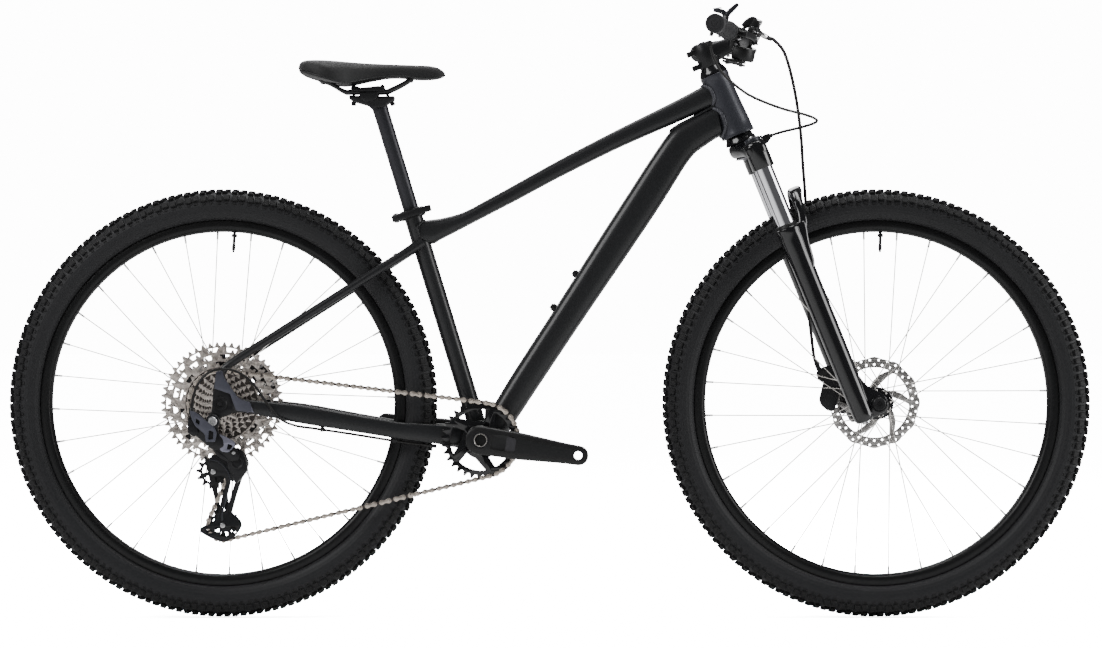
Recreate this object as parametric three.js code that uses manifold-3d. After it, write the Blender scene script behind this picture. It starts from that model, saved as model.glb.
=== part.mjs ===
// Hardtail mountain bike, 29 inch wheels, 100 mm suspension fork, one by twelve gears, disc brakes.
// Millimetres. +X forward, +Y rider's left, +Z up. The ground is z = 0, midway between the axles is x = 0.
import * as THREE from 'three';
import { mergeVertices } from 'three/addons/utils/BufferGeometryUtils.js';
import Module from 'manifold-3d';

const wasm = await Module();
wasm.setup();

// ---------------------------------------------------------------- driving dimensions
const GAP = 0.3;                    // clearance between neighbouring pieces
const AXLE_X = 567.7;               // half of the wheelbase
const TYRE_R = 372.6;               // outer radius of the tyre
const TYRE_HALF = 30;               // half of the tyre width
const RIM_OUT = 317;                // rim outer radius
const RIM_IN = 298;                 // rim inner radius, where the nipples sit
const SPOKES = 32;                  // spokes in each wheel
const SPOKE_PCR = 22.5;             // spoke hole circle radius on the hub flange
const BB = [-119.3, 310];           // crank axle, x and z
const SEAT_LEAN = 17;               // seat tube leans back from vertical, degrees
const SEAT_TUBE_R = 16;
const SEAT_TUBE_TOP = 418;          // along the seat tube from the crank axle
const POST_R = 13.6;                // 27.2 mm seatpost
const HEAD = [306.8, 891.4];        // middle of the head tube, x and z
const HEAD_LEAN = 22;               // steering axis leans back from vertical, degrees
const HEAD_HALF = 56.7;             // half of the head tube length
const STEERER_R = 14.3;
const LEG_OFF = 14.7;               // fork legs ahead of the steering axis
const LEG_Y = 66;                   // fork legs to each side
const STANCHION_R = 16;
const AXLE_OFF = 47.6;              // front axle ahead of the steering axis
const AXLE_DROP = 578.7;            // front axle below the middle of the head tube, along the axis
const BAR_AHEAD = 62.9;             // bar clamp ahead of the steering axis
const BAR_UP = 92.8;                // bar clamp above the middle of the head tube, along the axis
const BAR_HALF = 360;               // half of the bar width
const CRANK = 170;                  // crank arm length
const CRANK_DROP = 8.8;             // right crank points forward and this many degrees down
const PITCH = 12.7;                 // chain pitch
const COGS = [51, 45, 39, 33, 28, 24, 21, 18, 16, 14, 12, 10];
const COG_STEP = 3.5;
const COG_FIRST_Y = -32;
const COG_IN_USE = 28;
const RING_TEETH = 32;
const RING_Y = -52;
const PULLEY_TEETH = 13;
const CHAIN_Y = COG_FIRST_Y - COG_STEP * COGS.indexOf(COG_IN_USE);
const GUIDE = [-581.6, 254.6];      // guide pulley centre, x and z
const TENSION = [-565.1, 162.1];    // tension pulley centre, x and z
const CAGE_PIVOT = [-537.4, 272];   // cage pivot, x and z
const HANGER = [-578.6, 342.8];     // hanger bolt, x and z
const ROTOR_R = 80;
const FRONT_ROTOR_Y = 38;
const REAR_ROTOR_Y = 57;

// ---------------------------------------------------------------- materials
const paint = (r, g, b, roughness, metalness) =>
  new THREE.MeshStandardMaterial({ color: new THREE.Color(r, g, b), roughness, metalness });
const M = {
  frame: paint(0.045, 0.045, 0.05, 0.45, 0.2),
  head: paint(0.07, 0.07, 0.08, 0.45, 0.2),
  gloss: paint(0.02, 0.02, 0.024, 0.2, 0.1),
  satin: paint(0.05, 0.05, 0.055, 0.4, 0.3),
  steel: paint(0.62, 0.62, 0.63, 0.3, 1),
  chrome: paint(0.85, 0.85, 0.87, 0.08, 1),
  nickel: paint(0.6, 0.58, 0.55, 0.35, 1),
  chain: paint(0.5, 0.45, 0.4, 0.4, 1),
  tyre: paint(0.02, 0.02, 0.022, 0.85, 0),
  rim: paint(0.03, 0.03, 0.032, 0.35, 0.5),
  plastic: paint(0.03, 0.03, 0.03, 0.6, 0),
  rubber: paint(0.06, 0.06, 0.065, 0.8, 0),
  saddle: paint(0.025, 0.025, 0.027, 0.65, 0),
  crank: paint(0.05, 0.05, 0.052, 0.5, 0.3),
  grey: paint(0.16, 0.16, 0.18, 0.35, 0.5),
};

// ---------------------------------------------------------------- solid helpers
function solid(geometry) {
  geometry.deleteAttribute('normal');
  geometry.deleteAttribute('uv');
  const g = mergeVertices(geometry, 1e-4);
  const p = g.attributes.position.array;
  const tri = [];
  let volume = 0;
  const index = g.index.array;
  for (let i = 0; i < index.length; i += 3) {
    const [a, b, c] = [index[i], index[i + 1], index[i + 2]];
    if (a === b || b === c || a === c) continue;
    tri.push(a, b, c);
    const [A, B, C] = [a, b, c].map((k) => new THREE.Vector3(p[3 * k], p[3 * k + 1], p[3 * k + 2]));
    volume += A.dot(B.cross(C));
  }
  if (volume < 0) {
    for (let i = 0; i < tri.length; i += 3) [tri[i + 1], tri[i + 2]] = [tri[i + 2], tri[i + 1]];
  }
  const mesh = new wasm.Mesh({
    numProp: 3,
    vertProperties: new Float32Array(p),
    triVerts: new Uint32Array(tri),
  });
  return new wasm.Manifold(mesh);
}
const join = (...list) => list.reduce((a, b) => a.add(b));
const cut = (a, ...list) => list.reduce((x, y) => x.subtract(y), a);
const rad = THREE.MathUtils.degToRad;

function box(x0, x1, y0, y1, z0, z1) {
  const g = new THREE.BoxGeometry(x1 - x0, y1 - y0, z1 - z0);
  g.translate((x0 + x1) / 2, (y0 + y1) / 2, (z0 + z1) / 2);
  return solid(g);
}
function rod(a, b, r, sides = 24, rTop = r) {
  const A = new THREE.Vector3(...a);
  const B = new THREE.Vector3(...b);
  const d = B.clone().sub(A);
  const g = new THREE.CylinderGeometry(rTop, r, d.length(), sides, 1);
  const q = new THREE.Quaternion().setFromUnitVectors(new THREE.Vector3(0, 1, 0), d.clone().normalize());
  g.applyQuaternion(q);
  const mid = A.add(B).multiplyScalar(0.5);
  g.translate(mid.x, mid.y, mid.z);
  return solid(g);
}
const shapeOf = (points) => new THREE.Shape(points.map(([x, y]) => new THREE.Vector2(x, y)));
// Outline in x and z, thickness along y.
function plateY(points, y0, y1, holes = [], bevel = 0) {
  const shape = shapeOf(points);
  shape.holes = holes.map((h) => shapeOf(h));
  const depth = y1 - y0 - 2 * bevel;
  const g = new THREE.ExtrudeGeometry(shape, {
    depth,
    bevelEnabled: bevel > 0,
    bevelThickness: bevel,
    bevelSize: bevel,
    bevelOffset: -bevel,
    bevelSegments: 1,
    curveSegments: 8,
  });
  g.rotateX(Math.PI / 2);
  g.translate(0, y1 - bevel, 0);
  return solid(g);
}
// Outline in x and y, thickness along z.
function plateZ(points, z0, z1) {
  const g = new THREE.ExtrudeGeometry(shapeOf(points), { depth: z1 - z0, bevelEnabled: false });
  g.translate(0, 0, z0);
  return solid(g);
}
// Outline in y and z, thickness along x.
function plateX(points, x0, x1) {
  const g = new THREE.ExtrudeGeometry(shapeOf(points), { depth: x1 - x0, bevelEnabled: false });
  g.applyMatrix4(new THREE.Matrix4().makeBasis(
    new THREE.Vector3(0, 1, 0), new THREE.Vector3(0, 0, 1), new THREE.Vector3(1, 0, 0)));
  g.translate(x0, 0, 0);
  return solid(g);
}
// Profile of [radius, height] turned about the y axis through x, z.
function turnY(profile, x, z, sides = 32) {
  const g = new THREE.LatheGeometry(profile.map(([r, y]) => new THREE.Vector2(r, y)), sides);
  g.translate(x, 0, z);
  return solid(g);
}
// Profile of [radius, height] turned about the z axis through x, y.
function turnZ(profile, x, y, sides = 24) {
  const g = new THREE.LatheGeometry(profile.map(([r, h]) => new THREE.Vector2(r, h)), sides);
  g.rotateX(Math.PI / 2);
  g.translate(x, y, 0);
  return solid(g);
}
function sweep(points, r, sides, steps) {
  const curve = new THREE.CatmullRomCurve3(points.map((p) => new THREE.Vector3(...p)), false, 'centripetal');
  const circle = [];
  for (let i = 0; i < sides; i++) {
    const t = (2 * Math.PI * i) / sides;
    circle.push([r * Math.cos(t), r * Math.sin(t)]);
  }
  const tube = { steps, extrudePath: curve, bevelEnabled: false };
  return solid(new THREE.ExtrudeGeometry(shapeOf(circle), tube));
}
const ring = (outer, inner, y0, y1) => [[inner, y0], [outer, y0], [outer, y1], [inner, y1], [inner, y0]];
function arc(cx, cz, r, a0, a1, n) {
  const out = [];
  for (let i = 0; i <= n; i++) {
    const t = a0 + ((a1 - a0) * i) / n;
    out.push([cx + r * Math.cos(t), cz + r * Math.sin(t)]);
  }
  return out;
}
const circleOf = (cx, cz, r, n) => arc(cx, cz, r, 0, 2 * Math.PI * (1 - 1 / n), n - 1);
const mirror = (m) => m.mirror([0, 1, 0]);

// ---------------------------------------------------------------- placing of local parts
// Steering parts are drawn with x ahead of the steering axis and z up along it.
const STEER = new THREE.Matrix4()
  .makeRotationY(rad(-HEAD_LEAN))
  .premultiply(new THREE.Matrix4().makeTranslation(HEAD[0], 0, HEAD[1]));
// Seat parts are drawn with x ahead of the seat tube and z up along it.
const SEAT = new THREE.Matrix4()
  .makeRotationY(rad(-SEAT_LEAN))
  .premultiply(new THREE.Matrix4().makeTranslation(BB[0], 0, BB[1]));
// Bar parts are drawn with x ahead of the bar, y along it to the left and z up, at a distance along the bar.
const BAR_END = [272.9, 1006];
const BAR_MID = [330.4, 1001];
const BAR_BEND = 95;
function barPoint(y) {
  const t = Math.max(0, (Math.abs(y) - BAR_BEND) / (BAR_HALF - BAR_BEND));
  return [BAR_MID[0] + (BAR_END[0] - BAR_MID[0]) * t, y, BAR_MID[1] + (BAR_END[1] - BAR_MID[1]) * t];
}
const BAR_SWEEP = Math.atan2(BAR_MID[0] - BAR_END[0], BAR_HALF - BAR_BEND);
function barPlace(y, tilt = 0) {
  const p = barPoint(y);
  return new THREE.Matrix4().makeRotationY(rad(tilt))
    .premultiply(new THREE.Matrix4().makeRotationZ(Math.sign(y) * BAR_SWEEP))
    .premultiply(new THREE.Matrix4().makeTranslation(...p));
}
const at = (matrix, m) => m.transform(matrix.toArray());

const group = new THREE.Group();
group.name = 'mountain_bike';
function put(name, m, material) {
  const mesh = m.simplify(0.06).getMesh();
  const g = new THREE.BufferGeometry();
  g.setAttribute('position', new THREE.BufferAttribute(new Float32Array(mesh.vertProperties), 3));
  g.setIndex(new THREE.BufferAttribute(new Uint32Array(mesh.triVerts), 1));
  const flat = g.toNonIndexed();
  flat.computeVertexNormals();
  const out = new THREE.Mesh(flat, material);
  out.name = name;
  group.add(out);
}

// ---------------------------------------------------------------- frame
const headOuter = (extra) => at(STEER, turnZ([
  [0, -HEAD_HALF], [29.5 + extra, -HEAD_HALF], [29 + extra, -HEAD_HALF + 22], [25.5 + extra, 20],
  [25 + extra, HEAD_HALF], [0, HEAD_HALF],
], 0, 0, 28));
const headBore = at(STEER, rod([0, 0, -70], [0, 0, 70], 21, 18));
put('head_tube', cut(headOuter(0), headBore), M.head);

const bearing = (z0) => at(STEER, turnZ(ring(20.4, STEERER_R + 0.45, z0, z0 + 12), 0, 0, 18));
put('headset_upper_bearing', bearing(HEAD_HALF - 12.5), M.steel);
put('headset_lower_bearing', bearing(-HEAD_HALF + 0.5), M.steel);

const shellOuter = (extra) =>
  rod([BB[0], -36.5 - extra, BB[1]], [BB[0], 36.5 + extra, BB[1]], 23 + extra, 24);
const shellBore = rod([BB[0], -40, BB[1]], [BB[0], 40, BB[1]], 17.8, 20);
put('bottom_bracket_shell', cut(shellOuter(0), shellBore), M.frame);
put('bottom_bracket_unit', turnY([
  [12.3, -44], [21.5, -44], [21.5, -36.9], [17.2, -36.9], [17.2, 36.9], [21.5, 36.9], [21.5, 44], [12.3, 44],
  [12.3, -44],
], BB[0], BB[1], 20), M.satin);

const seatOuter = (extra) => at(SEAT, rod([0, 0, -5], [0, 0, SEAT_TUBE_TOP], SEAT_TUBE_R + extra, 20));
const seatBore = at(SEAT, rod([0, 0, 40], [0, 0, SEAT_TUBE_TOP + 5], 14, 20));
put('seat_tube', cut(seatOuter(0), shellOuter(GAP), seatBore), M.frame);

// Top tube: gusset at the seat tube, slight fall from the head tube.
const TOP_UPPER = [[-236, 688], [-190, 694], [-161, 701], [-139, 710], [-82, 741], [17, 796],
  [105, 842], [220, 899.5], [300, 942]];
const TOP_LOWER = [[300, 893], [268, 881], [212, 856.5], [115, 814], [17, 765], [-52, 728], [-203, 649.5],
  [-224, 648]];
const topWide = [[-245, -15], [-150, -19], [17, -18], [200, -21], [300, -23], [300, 23], [200, 21], [17, 18],
  [-150, 19], [-245, 15]];
const topSolid = plateY([...TOP_UPPER, ...TOP_LOWER], -23, 23, [], 6).intersect(plateZ(topWide, 600, 1000));
put('top_tube', cut(topSolid, headOuter(GAP), seatOuter(GAP)), M.frame);

// Down tube: straight and deep, curving forward under the top tube.
const DOWN_UPPER = [[-128, 322], [-97, 370.5], [-61, 429.5], [17, 550], [90.5, 666], [139, 741], [164, 780],
  [186, 813], [203, 836], [220, 852], [268, 874], [300, 885]];
const DOWN_LOWER = [[312, 846], [292, 834.7], [271, 821], [251.5, 805.5], [237, 787], [220, 760],
  [188, 709], [139, 636], [57.5, 516.5], [2, 429.5], [-42, 370.5], [-90, 292]];
const downWide = [[-140, -30], [-60, -30], [120, -27], [230, -25], [320, -25],
  [320, 25], [230, 25], [120, 27], [-60, 30], [-140, 30]];
const downTube = plateY([...DOWN_UPPER, ...DOWN_LOWER], -30, 30, [], 9).intersect(plateZ(downWide, 250, 950));
const boss = ([x, z]) => rod([x + 8, 0, z - 5.4], [x - 4.5, 0, z + 3], 5, 12);
const BOSSES = [[46, 594], [8, 536]];
put('down_tube', cut(join(downTube, ...BOSSES.map(boss)), headOuter(GAP), shellOuter(GAP), seatOuter(GAP)),
  M.frame);

// Stays. Right ones are drawn, left ones mirrored, then each gets its own dropout.
const STAY_UPPER = [[-545, 384], [-537, 381], [-431, 370.5], [-259, 340.5], [-187, 335.5], [-112, 331]];
const STAY_LOWER = [[-112, 291], [-187, 301.5], [-259, 311], [-431, 339], [-514, 355.5], [-545, 357]];
const stayPlan = [[-545, -86], [-431, -73], [-300, -56.5], [-230, -50], [-195, -46.3], [-180, -44.5],
  [-119, -38], [-112, -30], [-112, -14], [-128, -14], [-165, -26], [-193, -36.5], [-230, -37], [-300, -42],
  [-431, -58], [-545, -74]];
const stayRight = plateY([...STAY_UPPER, ...STAY_LOWER], -90, -10).intersect(plateZ(stayPlan, 280, 400));
const DROPOUT = [[-573, 428], [-562, 430], [-554, 406], [-537, 383], [-537, 356], [-554, 355], [-566, 350],
  [-570, 334], [-577, 328], [-586, 329], [-590, 338], [-588, 350], [-581, 362], [-579, 398]];
const axleHole = rod([-AXLE_X, -95, TYRE_R], [-AXLE_X, 95, TYRE_R], 6.2, 24);
const hangerHole = rod([HANGER[0], -95, HANGER[1]], [HANGER[0], -60, HANGER[1]], 4.2, 16);
const stayTrim = [
  rod([BB[0], -60, BB[1]], [BB[0], 60, BB[1]], 23.4, 24),
  seatOuter(GAP),
  downTube.intersect(box(-140, 0, -31, 31, 250, 420)),
];
put('chainstay_right', cut(join(stayRight, plateY(DROPOUT, -84, -74)), ...stayTrim, axleHole, hangerHole),
  M.frame);
const DROPOUT_LEFT = [[-573, 428], [-562, 430], [-554, 406], [-537, 383], [-537, 356], [-554, 355],
  [-570, 352], [-581, 362], [-579, 398]];
const caliperPost = plateY([[-532, 366], [-500, 358], [-486, 362], [-498, 382], [-520, 384]], 66.4, 76);
put('chainstay_left',
  cut(join(mirror(stayRight), plateY(DROPOUT_LEFT, 74, 84), caliperPost), ...stayTrim, axleHole),
  M.frame);

const SEATSTAY = [[-226, -14, 649], [-262, -28, 625.5], [-302, -43, 600], [-382, -54, 549],
  [-480, -66, 486.5], [-566, -79, 431]];
const seatstayRight = sweep(SEATSTAY, 7.6, 8, 9);
const bridge = rod([-266, -27, 627], [-266, 24, 627], 5, 8);
const bridgeTrim = sweep(SEATSTAY, 8, 8, 9);
const dropoutRoom = plateY(DROPOUT.map(([x, z]) => [x, z > 400 ? z + GAP : z]), -84.3, -73.7);
put('seatstay_right', cut(seatstayRight, seatOuter(GAP), dropoutRoom), M.frame);
const stayWithBridge = join(mirror(seatstayRight), cut(bridge, bridgeTrim));
put('seatstay_left', cut(stayWithBridge, seatOuter(GAP), mirror(dropoutRoom)), M.frame);

put('rear_axle', join(
  rod([-AXLE_X, -88, TYRE_R], [-AXLE_X, 85, TYRE_R], 6, 20),
  rod([-AXLE_X, 84.3, TYRE_R], [-AXLE_X, 88.5, TYRE_R], 9.5, 16),
), M.satin);

// ---------------------------------------------------------------- seat collar, post, rails, saddle
const COLLAR_Z = [402, 418];
const collar = join(
  at(SEAT, turnZ(ring(22, SEAT_TUBE_R + 0.5, ...COLLAR_Z), 0, 0, 20)),
  at(SEAT, cut(box(-33, -20, -13, -2, 403, 417), rod([-28, -20, 400], [-28, -20, 420], 11, 16))),
  at(SEAT, box(-33, -20, 2, 13, 403, 417)),
  at(SEAT, rod([-28, -19, 410], [-28, 17, 410], 2.4, 8)),
  at(SEAT, rod([-28, 13, 410], [-28, 18, 410], 5.5, 8)),
  at(SEAT, rod([-28, -20, 401], [-28, -20, 419], 2.5, 12)),
);
put('seat_clamp_collar', collar, M.satin);
// The lever stands closed along the right side and swings out about the cam pin.
const leverOuter = plateZ([[-36, -27], [-28, -28.5], [0, -31], [32, -27.5], [33, -25], [0, -25], [-20, -23.4],
  [-21, -14.5], [-35, -14.5]], 403.5, 416.5);
const leverSolid = cut(leverOuter, rod([-28, -20, 395], [-28, -20, 425], 2.8, 16),
  box(-36, -20, -23, -12, 406, 414));
const seatLever = cut(
  join(leverSolid, cut(turnZ(ring(5, 2.8, 403.5, 405.5), -28, -20, 16), box(-40, -10, -19, 0, 400, 420))),
  turnZ(ring(23, 10, 400, 420), 0, 0, 24),
  box(-36, -18, -19.3, 0, 400, 420),
);
put('seat_clamp_lever', at(SEAT, seatLever), M.satin);

const postAxis = (w) => [-Math.sin(rad(SEAT_LEAN)) * w + BB[0], Math.cos(rad(SEAT_LEAN)) * w + BB[1]];
const [headX, headZ] = postAxis(612);
const RAIL_Z = headZ + 18;
const postTube = cut(at(SEAT, rod([0, 0, 290], [0, 0, 614], POST_R, 20)),
  at(SEAT, rod([0, 0, 280], [0, 0, 599], 11.2, 12)));
const cradle = join(
  plateY([[headX - 50, headZ + 7], [headX - 44, headZ + 2], [headX - 16, headZ - 4], [headX + 13, headZ - 4],
    [headX + 28, headZ + 5], [headX + 28, headZ + 11], [headX - 50, headZ + 11]], -20, 20),
  box(headX - 46, headX + 11, -27, -17, headZ + 6, RAIL_Z - 5),
  box(headX - 46, headX + 11, 17, 27, headZ + 6, RAIL_Z - 5),
  box(headX - 46, headX + 11, -27, 27, RAIL_Z + 4.4, RAIL_Z + 8.5),
  rod([headX - 43, 0, headZ - 4], [headX - 43, 0, RAIL_Z + 12], 3, 8),
  rod([headX + 24, 0, headZ - 4], [headX + 5, 0, RAIL_Z + 13], 3, 8),
);
put('seatpost', join(postTube, cradle), M.satin);

const railSide = (s) => [[-394, 27.5 * s, 930.3], [-380, 26 * s, 928], [-357, 22.5 * s, RAIL_Z + 1],
  [-345, 22 * s, RAIL_Z], [-290, 22 * s, RAIL_Z], [-273, 20.5 * s, RAIL_Z + 5], [-253, 17 * s, 927.5],
  [-244, 15 * s, 930.3]];
const railHalves = [-1, 1].map((s) => sweep(railSide(s), 3.4, 8, 10));
const railNose = rod([-244, -17, 930.3], [-244, 17, 930.3], 3.4, 8);
const railTail = rod([-393, -30, 930.3], [-393, 30, 930.3], 3.4, 8);
put('saddle_rails', join(...railHalves, railNose, railTail), M.satin);

const saddleSide = [[-435, 956], [-428, 946], [-412, 936], [-385, 934.5], [-348, 928], [-300, 932],
  [-238, 935], [-192, 935], [-184, 940], [-182, 946], [-190, 953], [-215, 960], [-270, 961], [-330, 963],
  [-380, 967], [-420, 968], [-433, 963]];
const saddleHalf = [[-435, 22], [-430, 46], [-416, 64], [-396, 71], [-374, 69], [-345, 51], [-312, 34],
  [-275, 25], [-235, 20.5], [-200, 17], [-187, 11], [-182, 5]];
const saddlePlan = [...saddleHalf, ...saddleHalf.map(([x, y]) => [x, -y]).reverse()];
put('saddle', plateY(saddleSide, -75, 75).intersect(plateZ(saddlePlan, 900, 1000)), M.saddle);

// ---------------------------------------------------------------- fork and steering column
const steerer = rod([0, 0, -70], [0, 0, 112], STEERER_R, 18);
const crownPlan = [[-24, -20], [-12, -52], [2, -82], [14, -86], [28, -82], [34, -62], [27, -20], [27, 20],
  [34, 62], [28, 82], [14, 86], [2, 82], [-12, 52], [-24, 20]];
const crown = cut(
  join(
    steerer,
    rod([0, 0, -57.3], [0, 0, -66], 24, 20),
    rod([0, 0, -65], [0, 0, -94], 27, 20),
    plateZ(crownPlan, -97, -80),
    ...[-1, 1].map((s) => rod([LEG_OFF, s * LEG_Y, -128], [LEG_OFF, s * LEG_Y, -80], 20, 16)),
    rod([LEG_OFF, -LEG_Y, -80], [LEG_OFF, -LEG_Y, -69], 4, 16),
    rod([LEG_OFF, LEG_Y, -80], [LEG_OFF, LEG_Y, -74], 13, 12),
    box(LEG_OFF + 11, 44, -LEG_Y + 14, -LEG_Y + 19, -90, -72),
  ),
  ...[-1, 1].map((s) => rod([LEG_OFF, s * LEG_Y, -130], [LEG_OFF, s * LEG_Y, -88], STANCHION_R + 0.45, 16)),
);
put('fork_crown', at(STEER, crown), M.gloss);
const STANCHION_END = -445;
for (const [name, s] of [['stanchion_right', -1], ['stanchion_left', 1]]) {
  const wall = turnZ([[0, -88.5], [STANCHION_R, -88.5], [STANCHION_R, STANCHION_END],
    [STANCHION_R - 2.5, STANCHION_END], [STANCHION_R - 2.5, -96], [0, -96]], LEG_OFF, s * LEG_Y, 16);
  put(name, at(STEER, wall), M.chrome);
}
const dial = cut(
  join(
    rod([LEG_OFF, -LEG_Y, -79.6], [LEG_OFF, -LEG_Y, -71.5], 14.5, 16),
    box(LEG_OFF + 8, LEG_OFF + 19, -LEG_Y - 4, -LEG_Y + 4, -77, -73),
  ),
  rod([LEG_OFF, -LEG_Y, -85], [LEG_OFF, -LEG_Y, -60], 4.15, 16),
);
put('lockout_dial', at(STEER, dial), M.grey);

const LEG_TOP = -240;
const LEG_BOTTOM = -598;
const archOuter = [[-84, -264], [-82, -236], [-66, -200], [-38, -180], [0, -176], [38, -180], [66, -200],
  [82, -236], [84, -264]];
const archInner = [[48, -264], [46, -238], [38, -214], [20, -197], [0, -193], [-20, -197], [-38, -214],
  [-46, -238], [-48, -264]];
const leg = (s) => join(
  turnZ([[0, LEG_BOTTOM], [16, LEG_BOTTOM], [18.5, LEG_BOTTOM + 12], [19.5, -300], [21.5, -262],
    [21.5, LEG_TOP], [0, LEG_TOP]], LEG_OFF, s * LEG_Y, 16),
  box(LEG_OFF + 8, 57, ...(s > 0 ? [49, 83] : [-83, -49]), -263, -243),
  plateY([[LEG_OFF, -500], [36, -540], [62, -568], [62, -590], [50, -596], [LEG_OFF - 8, -596]],
    ...(s > 0 ? [58, 74] : [-74, -58])),
  rod([AXLE_OFF, s * 55.2, -AXLE_DROP], [AXLE_OFF, s * 75, -AXLE_DROP], 14.5, 16),
);
const caliperMount = plateY([[6, -500], [-12, -496], [-16, -508], [-4, -520], [-4, -556], [-16, -566],
  [-10, -578], [6, -574]], 52, 70);
const lowers = cut(
  join(leg(-1), leg(1), plateX([...archOuter, ...archInner], 44, 57), caliperMount),
  ...[-1, 1].map((s) => rod([LEG_OFF, s * LEG_Y, -562], [LEG_OFF, s * LEG_Y, -200], STANCHION_R + 0.45, 16)),
  rod([AXLE_OFF, -90, -AXLE_DROP], [AXLE_OFF, 90, -AXLE_DROP], 7.8, 20),
);
put('fork_lowers', at(STEER, lowers), M.gloss);
put('front_axle', join(
  rod([AXLE_X, -76, TYRE_R], [AXLE_X, 78, TYRE_R], 7.5, 20),
  rod([AXLE_X, -80, TYRE_R], [AXLE_X, -75.3, TYRE_R], 11, 16),
), M.satin);

// Caliper: two halves astride the rotor, joined beyond its edge. Centre is 76 mm from the axle.
function caliper(cx, cz, axleX, rotorY, y0, y1, turn, name) {
  const block = plateY([[-12, -34], [10, -32], [17, -20], [17, 20], [8, 28], [-4, 35], [-13, 34], [-15, 0]]
    .map(([u, v]) => [
      cx + u * Math.cos(turn) - v * Math.sin(turn),
      cz + u * Math.sin(turn) + v * Math.cos(turn),
    ]), y0, y1);
  const slot = rod([axleX, rotorY - 2.2, TYRE_R], [axleX, rotorY + 2.2, TYRE_R], ROTOR_R + 1.5, 28);
  put(name, cut(block, slot), M.gloss);
}
const frontCaliper = [AXLE_X - 78 * Math.cos(rad(14)), TYRE_R + 78 * Math.sin(rad(14))];
caliper(...frontCaliper, AXLE_X, FRONT_ROTOR_Y, 27, 46.1, rad(180 - 14), 'front_brake_caliper');
const rearCaliper = [-AXLE_X + 78 * Math.cos(rad(34)), TYRE_R + 78 * Math.sin(rad(34))];
caliper(...rearCaliper, -AXLE_X, REAR_ROTOR_Y, 45, 66, rad(34), 'rear_brake_caliper');

// ---------------------------------------------------------------- stem, bar, grips
const stem = cut(
  join(
    turnZ([[0, 57.2], [24.5, 57.2], [23.5, 62], [18.5, 71.5], [0, 71.5]], 0, 0, 20),
    rod([0, 0, 71], [0, 0, 113.5], 18.5, 20),
    plateY([[0, 76], [24, 78], [BAR_AHEAD - 8, 80], [BAR_AHEAD - 8, 106], [24, 108], [0, 110]], -15, 15),
    rod([BAR_AHEAD, -26, BAR_UP], [BAR_AHEAD, 26, BAR_UP], 21, 16),
    box(-33, -12, -9, 9, 74, 84),
    box(-33, -12, -9, 9, 100, 110),
  ),
  rod([0, 0, 40], [0, 0, 112.8], STEERER_R + 0.5, 18),
  rod([BAR_AHEAD, -40, BAR_UP], [BAR_AHEAD, 40, BAR_UP], 16.45, 16),
);
put('stem', at(STEER, stem), M.satin);

const barHalves = [-1, 1].map((s) => join(
  rod(barPoint(s * (BAR_BEND - 2)), barPoint(s * BAR_HALF), 11.1, 14),
  rod([BAR_MID[0], s * 40, BAR_MID[1]], [BAR_MID[0], s * 70, BAR_MID[1]], 15.9, 16, 11.3),
));
const bar = join(
  rod([BAR_MID[0], -40.5, BAR_MID[1]], [BAR_MID[0], 40.5, BAR_MID[1]], 15.9, 16),
  rod([BAR_MID[0], -BAR_BEND, BAR_MID[1]], [BAR_MID[0], BAR_BEND, BAR_MID[1]], 11.1, 14),
  ...barHalves,
);
put('handlebar', bar, M.satin);
const gripBore = (y) => rod(barPoint(y * 0.6), barPoint(y * (BAR_HALF + 0.6) / BAR_HALF), 11.6, 14);
for (const [name, s] of [['grip_right', -1], ['grip_left', 1]]) {
  const end = s * BAR_HALF;
  const body = join(
    rod(barPoint(s * 232), barPoint(s * 363), 15, 14),
    rod(barPoint(s * 232), barPoint(s * 238), 16.2, 14),
    rod(barPoint(s * 354), barPoint(s * 364.5), 16.2, 14),
  );
  put(name, cut(body, gripBore(end)), M.rubber);
}

// ---------------------------------------------------------------- hand controls
// Drawn for the right side: x ahead of the bar, -y outward, z up.
const CONTROL_TILT = 12;
const clampRing = (y0, y1, r) => rod([0, y0, 0], [0, y1, 0], r, 16);
const barHole = rod([0, -40, 0], [0, 40, 0], 11.9, 16);
const master = join(
  clampRing(-6, 6, 15),
  box(10, 34, -6, 8, -7, 7),
  rod([36, -9, 2], [36, 40, 2], 9, 12),
  box(27, 46, -7, 34, 4, 15),
  plateY([[30, -4], [38, -9], [50, -9], [50, 9], [38, 9]], -12, -7),
  box(38, 52, -31, -8, 2.6, 6),
  box(38, 52, -31, -8, -14, -10.6),
  box(36, 52, -12, -7, -14, 6),
  rod([46, -22, -14], [46, -22, 6], 2.5, 12),
  rod([36, 39, 2], [36, 52, 2], 5, 8),
);
const leverBlade = plateZ([[39.5, -17], [51, -16.5], [53.5, -30], [55, -60], [53, -100], [49, -128],
  [43, -128], [45, -100], [46, -60], [42, -36], [40, -27]], -10.2, 2.2);
const lever = cut(leverBlade, rod([46, -22, -20], [46, -22, 20], 2.7, 12));
const remote = join(
  clampRing(-23, -4, 14),
  box(-27, -6, -21, -9, -8, 12),
  rod([-27, -15, 8], [-30, -15, -13], 4, 8),
  box(-16, -8, -21, -18.3, 10, 26),
  box(-16, -8, -11.7, -9, 10, 26),
  rod([-12, -21, 22], [-12, -9, 22], 2.5, 12),
);
const masterRight = at(barPlace(-205, CONTROL_TILT), cut(join(master, remote), barHole));
put('brake_master_right', masterRight, M.plastic);
put('brake_master_left', at(barPlace(205, CONTROL_TILT), mirror(cut(master, barHole))), M.plastic);
put('brake_lever_right', at(barPlace(-205, CONTROL_TILT), lever), M.plastic);
put('brake_lever_left', at(barPlace(205, CONTROL_TILT), mirror(lever)), M.plastic);
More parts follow.
